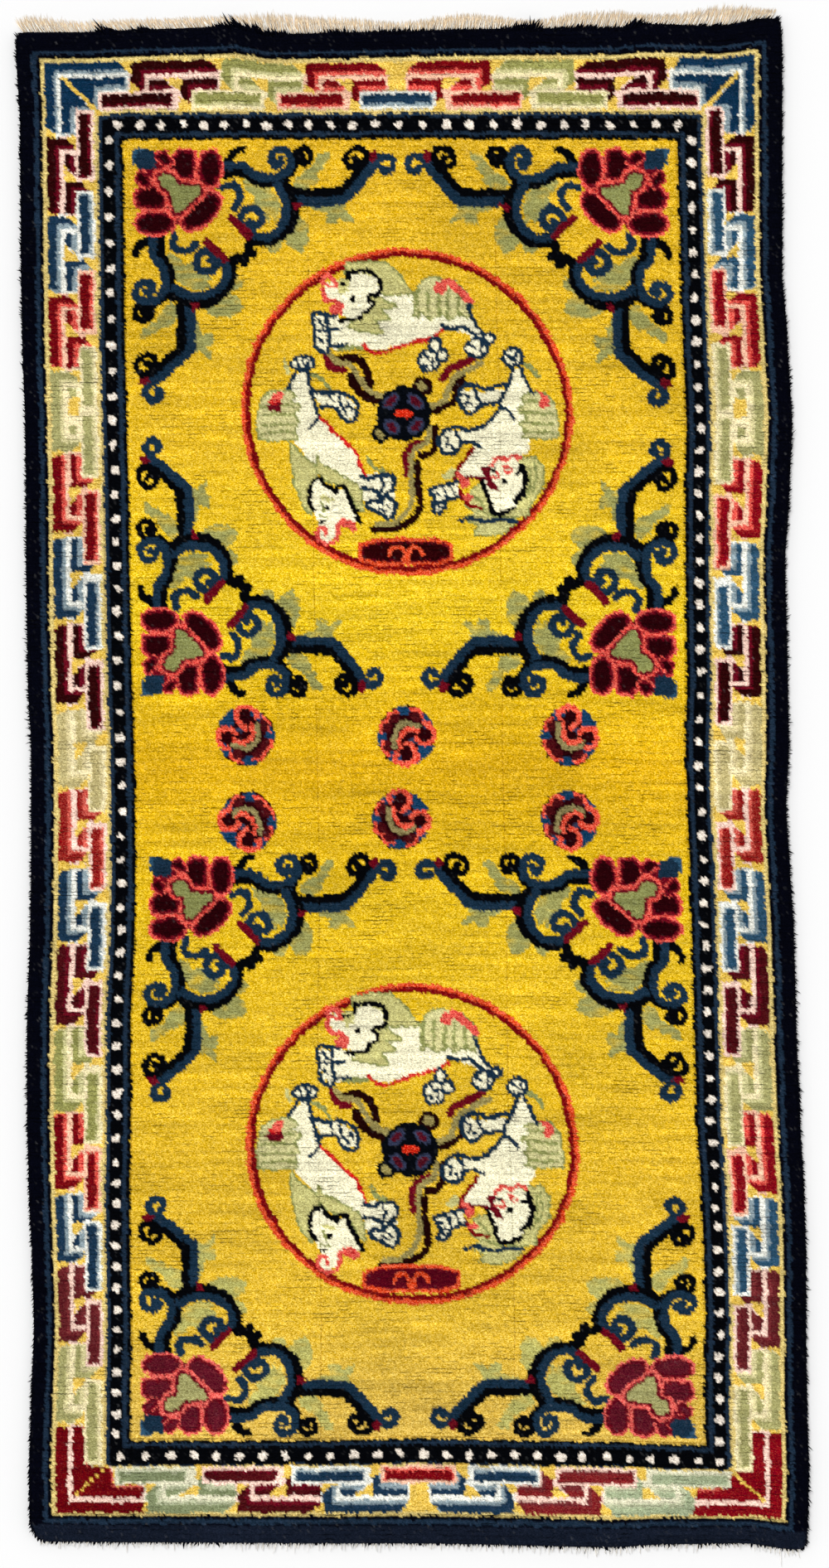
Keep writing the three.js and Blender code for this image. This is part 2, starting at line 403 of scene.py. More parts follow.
# The radius of a pearl, and how much pearls differ in place and radius, in knots.
PEARL_SIZE = 1.08
PEARL_STRAY = 0.15
PEARL_UNEVEN = 0.12

# The three tones of each colour of the key border: outer side, inner side and surround.
KEY_TONES = {
    "maroon": ("maroon", "crimson", "pink_cream"),
    "dull_maroon": ("dull_maroon", "crimson", "pink_cream"),
    "faded_maroon": ("faded_maroon", "faded_crimson", "pink_cream"),
    "blue": ("blue", "light_blue", "cream"),
    "red": ("red", "coral", "peach"),
    "faded_red": ("faded_red", "faded_coral", "pink_cream"),
    "green": ("green", "light_green", "pale_cream"),
    "faded_green": ("faded_green", "faded_light_green", "pale_cream"),
    "worn_green": ("worn_green", "worn_light_green", "pale_cream"),
    "rust": ("rust", "faded_crimson", "pink_cream"),
    "sea_green": ("sea_green", "light_sea_green", "sea_cream"),
    "pale_sea_green": ("pale_sea_green", "light_sea_green", "sea_cream"),
}

# Keys of the border, where each begins at its arm and where it ends; one that runs backwards
# begins at the larger number. Then the bars on their inner side.
SIDE_KEYS = (
    ("maroon", 28, 48.5),
    ("blue", 49, 69),
    ("red", 70, 89),
    ("red", 132.5, 112),
    ("blue", 155.5, 134),
    ("maroon", 178, 157),
    ("faded_green", 200, 180),
    ("faded_red", 220, 201),
    ("blue", 241, 222),
    ("dull_maroon", 263, 242),
    ("green", 286, 264),
    ("red", 306.5, 286.5),
    ("blue", 326, 308),
    ("faded_maroon", 347, 327),
    ("worn_green", 368.5, 348),
)
SIDE_DOUBLE_KEY = ("worn_green", 90, 111)
SIDE_BARS = (
    ("maroon", 21.5, 38.5),
    ("blue", 43, 59),
    ("red", 64, 79),
    ("worn_green", 84, 99.5),
    ("worn_green", 101.5, 117.5),
    ("red", 122, 140.5),
    ("blue", 146, 163),
    ("maroon", 168, 184.5),
    ("faded_green", 190, 206),
    ("faded_red", 211, 227),
    ("blue", 232, 248),
    ("dull_maroon", 253, 271),
    ("green", 276, 294),
    ("red", 297, 312),
    ("blue", 316, 333),
    ("faded_maroon", 337, 353),
    ("worn_green", 358, 379),
)
TOP_KEYS = (
    ("maroon", 30, 53.5),
    ("green", 54.5, 76),
    ("red", 77, 98.5),
    ("red", 126.5, 104),
    ("green", 149, 127.5),
    ("maroon", 173.5, 149.5),
)
TOP_BARS = (
    ("maroon", 22, 41),
    ("green", 47, 65),
    ("red", 70, 87),
    ("blue", 92, 111),
    ("red", 116, 134),
    ("green", 139, 157),
    ("maroon", 162, 181.5),
)
BOTTOM_KEYS = (
    ("sea_green", 32, 55),
    ("dull_maroon", 55.5, 77),
    ("blue", 77.5, 99.5),
    ("blue", 126.5, 105),
    ("rust", 149, 127.5),
    ("pale_sea_green", 173, 150),
)
BOTTOM_BARS = (
    ("sea_green", 24.5, 42),
    ("dull_maroon", 47, 65.5),
    ("blue", 70, 88),
    ("red", 93, 111),
    ("blue", 116, 132.5),
    ("rust", 138, 157.5),
    ("pale_sea_green", 162, 182),
)

# Lengths of a key and a double key as drawn below, along the border from its arm.
KEY_LENGTH = 20.5
DOUBLE_KEY_LENGTH = 21


def draw_bands(pen):
    """The bands, each laid over the one before, and the worn lower end."""
    for dye, side, top, bottom in BANDS:
        pen.box(dye, (side, top), (KNOTS_ACROSS - side, KNOTS_DOWN - bottom))
    pen.box("worn_navy", (0, KNOTS_DOWN - WORN_HEM), (KNOTS_ACROSS, KNOTS_DOWN))


def spaced(row):
    """The place of every pearl in a row."""
    numbers, places = zip(*row)
    return np.interp(np.arange(numbers[-1] + 1), numbers, places)


def draw_pearls(pen):
    """The pearls of the inner guard, each knotted a little differently."""
    left = [(PEARLS_IN, down) for down in spaced(PEARLS_DOWN_LEFT)]
    right = [(KNOTS_ACROSS - PEARLS_IN, down) for down in spaced(PEARLS_DOWN_RIGHT)]
    top = [(across, PEARLS_FROM_TOP) for across in spaced(PEARLS_ACROSS_TOP)]
    bottom = [(across, KNOTS_DOWN - PEARLS_FROM_BOTTOM) for across in spaced(PEARLS_ACROSS_BOTTOM)]
    for centre in (*left, *right, *top, *bottom):
        place = np.array(centre) + random.normal(0, PEARL_STRAY, 2)
        radii = PEARL_SIZE + random.normal(0, PEARL_UNEVEN, 2)
        pen.oval("pearl", place, radii, turn=random.uniform(0, 90))


# How far the outer corner of a key is cut off, in knots: on the long sides and on the ends.
SIDE_CUT, END_CUT = 1.0, 2.3


def draw_key(pen, tone, cut):
    """One key, drawn with places along the border from the key's arm, and in from the rug's edge."""
    outer, inner, surround = KEY_TONES[tone]
    pen.box(surround, (-0.5, 10.4), (20.9, 20))
    pen.area("fret_yellow", (-0.4, 13.2), (0.3, 12.4), (3.4, 15.7), (-0.4, 15.7))
    pen.area("fret_yellow", (7.4, 11.9), (10.8, 15.1), (11.8, 15.1), (11.8, 11.9))
    pen.area("fret_yellow", (11.2, 16.9), (12.2, 16.9), (14.9, 19.4), (14.9, 20.6), (11.2, 20.6))
    # The outer bar with its arm.
    pen.area(
        inner, (0, 7.4), (20.2 - cut, 7.4), (20.4, 7.6 + cut), (20.4, 10.75), (3.1, 10.75),
        (3.1, 15.2), (2.2, 15), (0, 12.6),
    )
    pen.area(
        outer, (0, 7.4), (20 - cut, 7.4), (20, 7.4 + cut), (20, 9.7), (2.1, 9.7), (2.1, 14.7),
        (0, 12.6),
    )
    # The small block that the arm shelters.
    pen.area(inner, (4.3, 12.1), (4.3, 15.1), (10.3, 15.1), (7.4, 12.1))
    pen.area(outer, (4.3, 12.1), (4.3, 13.7), (8.9, 13.7), (7.4, 12.1))
    # The second bar, whose arm reaches in between the bars of the inner side.
    pen.area(
        inner, (11.8, 12.1), (11.8, 16.8), (13, 17.6), (14.5, 19.2), (14.5, 15.1), (20.4, 15.1),
        (20.4, 12.1),
    )
    pen.area(
        outer, (11.8, 12.1), (11.8, 16.8), (13.4, 18.1), (13.4, 13.8), (20.4, 13.8), (20.4, 12.1),
    )


def draw_double_key(pen, tone):
    """The key at which the border turns round: an arm at both ends, and two small blocks."""
    outer, inner, surround = KEY_TONES[tone]
    middle = DOUBLE_KEY_LENGTH / 2
    pen.box(surround, (-0.5, 10.4), (21.5, 20))
    pen.box("fret_yellow", (6.6, 12), (11.6, 15))
    for half in (pen, pen.mirrored(middle)):
        half.area("fret_yellow", (-0.4, 13.2), (0.3, 12.4), (3.4, 15.7), (-0.4, 15.7))
        half.area(
            inner, (0, 7.4), (middle, 7.4), (middle, 10.75), (3.1, 10.75), (3.1, 15.2), (2.2, 15),
            (0, 12.6),
        )
        half.area(outer, (0, 7.4), (middle, 7.4), (middle, 9.8), (2.2, 9.8), (2.2, 14.8), (0, 12.6))
        half.box(outer, (4.3, 12), (7, 14.2))


def draw_bar(pen, tone, start, end):
    """One bar of the border's inner side."""
    outer, inner, surround = KEY_TONES[tone]
    pen.box(surround, (start - 0.8, 15.3), (end + 0.8, 20))
    pen.box(inner, (start, 16), (end, 19.2))
    pen.box(outer, (start + 0.3, 16), (end - 0.3, 18.5))


def draw_upper_corner(pen):
    """A blue corner of the key border, drawn from the upper left corner of the rug."""
    _, inner, surround = KEY_TONES["blue"]
    outer = "corner_blue"
    pen.area(
        surround, (9.8, 11), (29.7, 11), (29.7, 16.6), (22, 16.6), (22, 21.3), (15.8, 21.3),
        (15.8, 28), (9.8, 28),
    )
    pen.area(
        inner, (7.2, 8.1), (26.4, 8.1), (28.5, 10.6), (28.5, 11.4), (10.4, 11.4), (10.4, 26.8),
        (8.6, 26.6), (7.2, 25.2),
    )
    pen.area(outer, (7.2, 8.1), (26.4, 8.1), (28.2, 10.4), (9.5, 10.4), (9.5, 26.6), (7.2, 25.2))
    pen.area(inner, (12.6, 12.3), (28.9, 12.3), (28.9, 15.7), (21.1, 15.7), (21.1, 20.8))
    pen.area(outer, (12.6, 12.3), (28.4, 12.3), (28.4, 14.5), (20, 14.5), (20, 19.7))
    pen.area(inner, (11.3, 12.4), (19.6, 21), (15, 21), (15, 27.2), (11.3, 27.2))
    pen.area(outer, (11.3, 12.4), (18.6, 20), (13.6, 20), (13.6, 26.8), (11.3, 26.8))
    pen.line("fret_yellow", 1, (11.9, 12.4), (21.6, 21.8))


def draw_lower_corner(pen, dotted):
    """A red corner of the key border, drawn from the lower left corner of the rug.

    The left one is dotted along its mitre, and the right one is paler.
    """
    red = "corner_red" if dotted else "worn_red"
    pen.area(
        "pink_cream", (10.2, 11), (31.3, 11), (31.3, 16), (23.3, 16), (23.3, 21), (16, 21),
        (16, 32.4), (10.2, 32.4),
    )
    pen.area(red, (7.3, 8.3), (31, 8.3), (31, 11.2), (10.7, 11.2), (10.7, 32), (7.3, 32))
    pen.area(
        red, (12, 12.6), (31, 12.6), (31, 15.4), (23.4, 15.5), (22.7, 20.3), (19.5, 21.2),
        (15.6, 21.5), (15.4, 32), (12, 32),
    )
    pen.line("faded_coral", 0.7, (31, 15.6), (23.5, 15.7))
    pen.line("faded_coral", 0.7, (23.3, 15.9), (22.6, 20.3))
    pen.line("faded_coral", 0.7, (15.8, 21.5), (15.6, 32))
    if dotted:
        for step in range(7):
            pen.oval("fret_yellow", (13.2 + 1.4 * step, 13.6 + 1.25 * step), (0.7, 0.5), turn=60)
    else:
        pen.line("fret_yellow", 0.9, (12.2, 13), (21.8, 21.5))


# How many knots further down the keys of the right border lie than those of the left one.
RIGHT_SLIDE = (
    (28, -0.4),
    (60, -0.6),
    (80, -1),
    (100, 0.6),
    (120, 1.4),
    (140, 1),
    (160, -0.4),
    (180, -2.6),
    (200, -0.8),
    (260, -0.5),
    (280, -1.6),
    (300, -0.2),
    (360, 0.2),
)

# The dyes of the right border, paler than those of the left one.
PALER_RIGHT_KEYS = {"blue": "worn_blue", "red": "worn_red", "green": "worn_green"}


def slid(slide, *keys):
    """Keys or bars, each with its start and end moved along the border."""
    places, moves = zip(*slide)
    return [(tone, *(at + np.interp(at, places, moves) for at in ends)) for tone, *ends in keys]


def draw_key_border(chart):
    """The key border: its pen lies on each side of the rug in turn."""
    right_keys, right_bars = slid(RIGHT_SLIDE, *SIDE_KEYS), slid(RIGHT_SLIDE, *SIDE_BARS)
    right_double_key = slid(RIGHT_SLIDE, SIDE_DOUBLE_KEY)[0]
    strips = (
        ((0, 0), (0, 1), (1, 0), SIDE_KEYS, SIDE_BARS, SIDE_DOUBLE_KEY),
        ((KNOTS_ACROSS, 0), (0, 1), (-1, 0), right_keys, right_bars, right_double_key),
        ((0, 1), (1, 0), (0, 1), TOP_KEYS, TOP_BARS, None),
        ((0, 399.5), (1, 0), (0, -0.955), BOTTOM_KEYS, BOTTOM_BARS, None),
    )
    for side, along in ((0, (1, 0)), (KNOTS_ACROSS, (-1, 0))):
        draw_upper_corner(Pen(chart, (side, 0), along, (0, 1)))
        draw_lower_corner(Pen(chart, (side, 400.5), along, (0, -0.96)), dotted=side == 0)
    for origin, along, away, keys, bars, double_key in strips:
        renamed = PALER_RIGHT_KEYS if keys is right_keys else ()
        cut = SIDE_CUT if along[1] else END_CUT
        origin, along = np.array(origin, float), np.array(along, float)
        for tone, start, end in keys:
            step = along * (end - start) / KEY_LENGTH
            draw_key(Pen(chart, origin + along * start, step, away, renamed), tone, cut)
        if double_key:
            tone, start, end = double_key
            step = along * (end - start) / DOUBLE_KEY_LENGTH
            draw_double_key(Pen(chart, origin + along * start, step, away, renamed), tone)
        for bar in bars:
            draw_bar(Pen(chart, origin, along, away, renamed), *bar)


# The brackets of flowers and tendrils: the corner that each grows from, how many knots a knot of
# the drawing is across and down, and whether its dyes have faded.
BRACKETS = (
    ((28, 29), 1.0, 0.955, False),
    ((176, 29), -1.0, 0.965, False),
    ((28, 178.5), 0.917, -0.97, False),
    ((176, 178.5), -0.97, -0.965, False),
    ((29, 216.5), 0.94, 0.924, False),
    ((176.5, 216.5), -1.01, 0.91, False),
    ((28, 374), 0.95, -0.895, True),
    ((176, 374), -0.97, -0.90, True),
)
FADED_BRACKET = {
    "petal": "faded_petal", "petal_rim": "faded_rim", "leaf": "pale_leaf", "heart": "worn_green",
}


def draw_leaf(pen, *corners):
    """One leaf, with soft edges."""
    pen.area("leaf", *corners, rims=(("leaf", 0.35),))


def draw_half_bracket(pen):
    """Half of a bracket: u runs along the field's edge from its corner, v away from that edge."""
    # Leaves.
    draw_leaf(
        pen, (45.5, 12.5), (46, 11), (50.5, 8), (52.5, 4.5), (54.8, 4), (55, 5), (53, 7), (53.5, 8),
        (51.5, 9.5), (51.8, 11), (50.5, 12.8), (47.5, 13.5),
    )
    draw_leaf(
        pen, (48, 17.8), (59, 17.5), (58.3, 19.5), (61, 22.5), (59, 22.3), (57.5, 20.8), (56.5, 23),
        (54, 22.8), (54.5, 20), (52, 19.5),
    )
    draw_leaf(
        pen, (44, 21.5), (46.5, 20.8), (48.8, 24), (48.6, 28.5), (47, 31), (44.5, 30), (43, 28),
        (41, 27.5),
    )
    draw_leaf(pen, (38, 29.5), (42, 28), (41, 30.5), (39, 31))
    draw_leaf(
        pen, (32, 11.5), (36, 12), (40, 15), (41.5, 18.5), (40.5, 22.5), (39, 20.5), (38.5, 23),
        (37, 19), (34.5, 17.5), (35, 15.5), (33, 14),
    )
    # The stem from the flower, black beneath and blue above, and its first tendrils.
    pen.line(
        "black", 2.8, (26.5, 9.3), (32, 9.3), (35, 11.3), (41, 12.3), (43.3, 10.5), (45, 8),
        (45.5, 5.5),
    )
    pen.line(
        "black", 1.9, (45.5, 5.5), (46, 3.5), (48, 2.5), (49.8, 3.5), (49.7, 6), (48, 7),
        (47.2, 5.5), (48, 4.8),
    )
    pen.line(
        "stem_blue", 2.4, (26, 7.3), (32, 7.5), (35.5, 10), (40.5, 10.5), (44, 8.5), (44.6, 5.5),
    )
    pen.line(
        "stem_blue", 2.2, (44.6, 5.5), (43.6, 3.2), (41.3, 2.8), (39.6, 4.5), (40, 6.8),
        (41.6, 7.3), (42, 5.6),
    )
    pen.area(
        "black", (26.3, 6.4), (28, 3.4), (30.5, 1.7), (33, 2.2), (32.6, 3.8), (30.8, 3.9),
        (29.4, 6),
    )
    # The long arm.
    pen.line("black", 2.9, (43.5, 13), (46, 15), (57, 14.6), (60, 12.7), (64.3, 7.5), (65.3, 5))
    pen.line(
        "black", 1.9, (65.3, 5), (64.3, 3.1), (62.3, 2.6), (60.2, 3.8), (59.5, 5.8), (60.3, 7.4),
        (62, 7.3), (62.6, 5.8), (61.7, 5.1),
    )
    pen.line(
        "stem_blue", 2.6, (42, 13), (44.8, 16.8), (57, 17.1), (60.5, 15), (66, 8.5), (67.6, 5.6),
    )
    pen.line(
        "stem_blue", 2.2, (67.6, 5.6), (70.5, 4.8), (72, 6.5), (71.5, 8.5), (69.8, 8.8), (69.2, 8),
    )
    # The loop that turns back towards the flower.
    pen.line(
        "black", 2.9, (43, 13.5), (45.3, 17.5), (45.3, 21.5), (43, 25.5), (38.5, 28.3), (34, 28.5),
        (32.8, 31), (34, 31.8),
    )
    pen.line("stem_blue", 2.4, (41, 13), (43.1, 17), (42.8, 22), (40, 26), (36, 27), (32.5, 25.3))
    pen.line(
        "stem_blue", 2.3, (32.5, 25.3), (30.8, 22.5), (32, 19.8), (34.5, 19), (36.5, 21),
        (36, 23.5), (34, 24), (33.4, 22.8),
    )
    pen.line("stem_blue", 2.2, (26.3, 13.3), (29.3, 12.6), (30.8, 14.5), (30.8, 17), (29.3, 19))
    pen.line("bud", 2.2, (28.3, 21.8), (30.6, 24), (33, 26.5))
    pen.area("bud", (45, 17.5), (47.8, 17.8), (47, 19.2), (45.3, 20))
    pen.area("bud", (65.5, 5.3), (66, 3.3), (67.5, 2.8), (68, 4.8), (66.8, 6.5))


def draw_flower(pen, half_pens):
    """The large flower in the bracket's corner: four pairs of petals about a green heart."""
    rims = (("petal_rim", 1.5), ("bud", 0.75))
    pen.area("bud", (8.5, 5), (20, 5), (25, 12), (20, 20), (12, 25), (5, 20), (5, 8.5))
    for half in half_pens:
        half.oval("petal", (23, 8.1), (2.3, 4.4), rims=rims)
        half.area(
            "petal", (12.2, 6.3), (13.8, 5), (15.3, 3.6), (18, 4), (18.2, 10), (15.5, 10.2),
            (13.8, 8), rims=rims,
        )
        half.area(
            "petal", (9, 4.4), (11, 3.7), (12.6, 6.2), (11, 6.2),
            rims=(("petal_rim", 1.1), ("bud", 0.7)),
        )
    pen.oval("petal", (20.5, 19.9), (5.7, 2.6), turn=-45, rims=rims)
    heart = ((9.3, 10), (11, 9.2), (12.8, 9.8), (14.2, 12.3), (20.3, 13.2), (20.3, 14.8),
             (14.8, 20.3), (13.2, 20.3), (12.3, 14.2), (9.8, 12.8), (9.2, 11))
    pen.area("heart", *heart, rims=(("petal_rim", 1.7), ("bud", 0.8)))
    pen.area("worn_blue", (2.2, 2.4), (6, 2.2), (5, 5.6), (2.4, 7))
    pen.area("stem_blue", (3.4, 3.6), (5, 2.6), (8.5, 3), (8.7, 8), (3.4, 8.2), (2.9, 5.5))


def draw_brackets(chart):
    """All the brackets, each drawn as two halves with a flower over where they meet."""
    for origin, across, down, faded in BRACKETS:
        renamed = FADED_BRACKET if faded else ()
        upright = Pen(chart, origin, (across, 0), (0, down), renamed)
        lying = Pen(chart, origin, (0, down), (across, 0), renamed)
        for half in (upright, lying):
            draw_half_bracket(half)
        draw_flower(upright, (upright, lying))


# How far the parts of the lower medallion lie from those of the upper one, in knots.
LOWER_BY = {
    "first_lion": (-1, 194),
    "ball": (-0.5, 195),
    "lions": (-1.5, 193),
    "cartouche": (-1, 192.7),
}


def draw_ring(pen, radii):
    """The ring of a medallion, coral outside and red inside, about its yellow ground."""
    outer = np.array(radii)
    pen.oval("ring_coral", (0, 0), outer)
    pen.oval("ring_red", (0, 0), outer - 1.2)
    pen.oval("field", (0, 0), outer - 2.5)


def draw_hair(pen, dye, *corners):
    """A mane or a tail of a lion, with its green rim."""
    pen.area(dye, *corners, rims=(("plume_streak", 0.5),))


def draw_paw(pen, centre, radii, rim=1.0):
    """A paw of a lion, with its blue rim."""
    pen.oval("lion_cream", centre, radii, rims=(("stem_blue", rim),))


def draw_toes(pen, *marks):
    """Short blue lines between the toes of a paw."""
    for mark in marks:
        pen.line("stem_blue", 0.8, *mark)


def draw_first_lion(pen):
    """The lion along the top, running to the left."""
    pen.area(
        "lion_cream", (84, 79), (90, 79), (95.5, 70.2), (105, 69.2), (113, 72), (119.5, 73.5),
        (121, 77), (123.5, 81.5), (121, 82.5), (119, 80.5), (112, 79), (111, 81), (104, 82.5),
        (96, 85), (91.5, 84), (84, 82.5),
    )
    pen.area(
        "lion_cream", (78.5, 75.5), (86, 76.5), (92, 79.5), (94, 84), (84, 84.5), (81, 85),
        (79, 84),
    )
    draw_hair(
        pen, "mane", (87, 64.5), (87, 61.9), (93, 61.7), (97, 61.7), (101, 65), (104.3, 69.8),
        (97, 70.3), (94, 67),
    )
    draw_hair(
        pen, "mane", (94, 70), (100, 73.5), (95.5, 73.9), (98.3, 76.6), (94, 76.9), (96.5, 80.3),
        (91, 79.7), (87, 78.7), (90, 76.5), (92.5, 73),
    )
    pen.area("mane", (84, 66), (87.6, 65.6), (88, 69.5), (85.6, 70.3), (84.3, 69))
    draw_hair(
        pen, "plume", (105.3, 76), (105.2, 70), (107, 66.8), (110, 65.5), (116, 66.8),
        (119.3, 70.2), (119.8, 73), (119, 76.5), (117.3, 74.7), (114.3, 77), (112, 74.7),
        (109.3, 77), (107, 74.7),
    )
    for across in (106, 108.7, 111.6, 114.2, 117):
        pen.line("plume_streak", 0.9, (across, 69), (across - 0.2, 73), (across, 76.3))
    pen.line("coral", 2, (113.8, 66.5), (117, 69), (119.9, 71.8))
    pen.oval("coral", (112, 68.2), (1.7, 1.6))
    pen.line("plume_streak", 1.2, (85, 84.4), (91, 84.2))
    pen.line(
        "belly_red", 1, (91.3, 83.3), (93, 85.1), (96, 85.8), (100, 84.3), (105, 82.8), (109, 81.6),
        (112.4, 79.8),
    )
    # Hind legs and paws.
    pen.line("stem_blue", 1.1, (119.3, 72.8), (120.3, 76), (121.8, 79), (124, 82))
    pen.line("stem_blue", 1.1, (112, 78.4), (115, 79.2), (118, 78.9), (121.2, 81.2))
    draw_paw(pen, (121.4, 84.3), (2.3, 2))
    draw_paw(pen, (124.8, 81.9), (0.8, 0.6))
    draw_paw(pen, (110.2, 83.6), (1.1, 1.5))
    draw_paw(pen, (108.5, 87.7), (2.2, 2.4))
    draw_paw(pen, (112.2, 86.3), (1, 1.1))
    draw_toes(
        pen, ((119.6, 83.4), (120.8, 84.4)), ((122.8, 82.6), (122.6, 85.6)),
        ((107.4, 86), (108.4, 87.2)), ((109.6, 86.8), (109.4, 89.2)), ((107, 88.6), (108, 89.4)),
    )
    # Front paws.
    pen.line(
        "stem_blue", 1.1, (84, 75.8), (78.3, 75), (78.3, 79), (78.3, 82), (79, 84.8), (81.5, 85.5),
        (82.5, 83.8), (86.5, 83.5),
    )
    pen.line("stem_blue", 1.1, (81.4, 75.6), (81.8, 79), (82.4, 84.2))
    pen.line("stem_blue", 1, (79, 79.4), (85, 79.4))
    draw_toes(pen, ((79.2, 76.6), (80.4, 78.2)), ((79.4, 81.6), (80.6, 82.8)))
    # The head, looking back to the left.
    pen.area(
        "lion_cream", (87.8, 65), (91, 64.5), (95, 66), (95.5, 69.5), (92, 70.5), (94, 72),
        (93, 74), (91, 75.5), (89, 77), (85.5, 76), (85.5, 72.5), (84.8, 70.2), (87.5, 69),
        (87.5, 67),
    )
    pen.line(
        "black", 1.3, (87.6, 66), (87.8, 64.2), (92, 63.9), (94.6, 64.7), (95.9, 66.5),
        (96.1, 68.8), (95, 70.2), (92.9, 70.6), (93.2, 72),
    )
    pen.line(
        "black", 1.1, (93.2, 72), (94, 72.4), (93.4, 73.8), (91.5, 75), (90, 76.6), (85.3, 76.9),
    )
    pen.oval("black", (88.6, 71.3), (0.9, 0.8))
    pen.line("black", 0.8, (84.7, 67.2), (86.2, 67.2))
    # The snout and the mouth.
    pen.area("lion_cream", (81, 66), (83.3, 66.8), (85, 69.5), (85.5, 72.5), (83, 71.5), (81.3, 70))
    pen.line(
        "coral", 1.2, (84.2, 67.8), (83.6, 66), (82, 65), (80.8, 66.3), (80.5, 69), (81.4, 71.4),
        (84, 71.9), (85.6, 73.3), (85.2, 75),
    )
    pen.line("coral", 0.8, (81.8, 67.2), (83, 68))
    pen.area("coral", (82, 73.6), (85, 72), (86, 74), (84.8, 75.7), (83, 75.2))


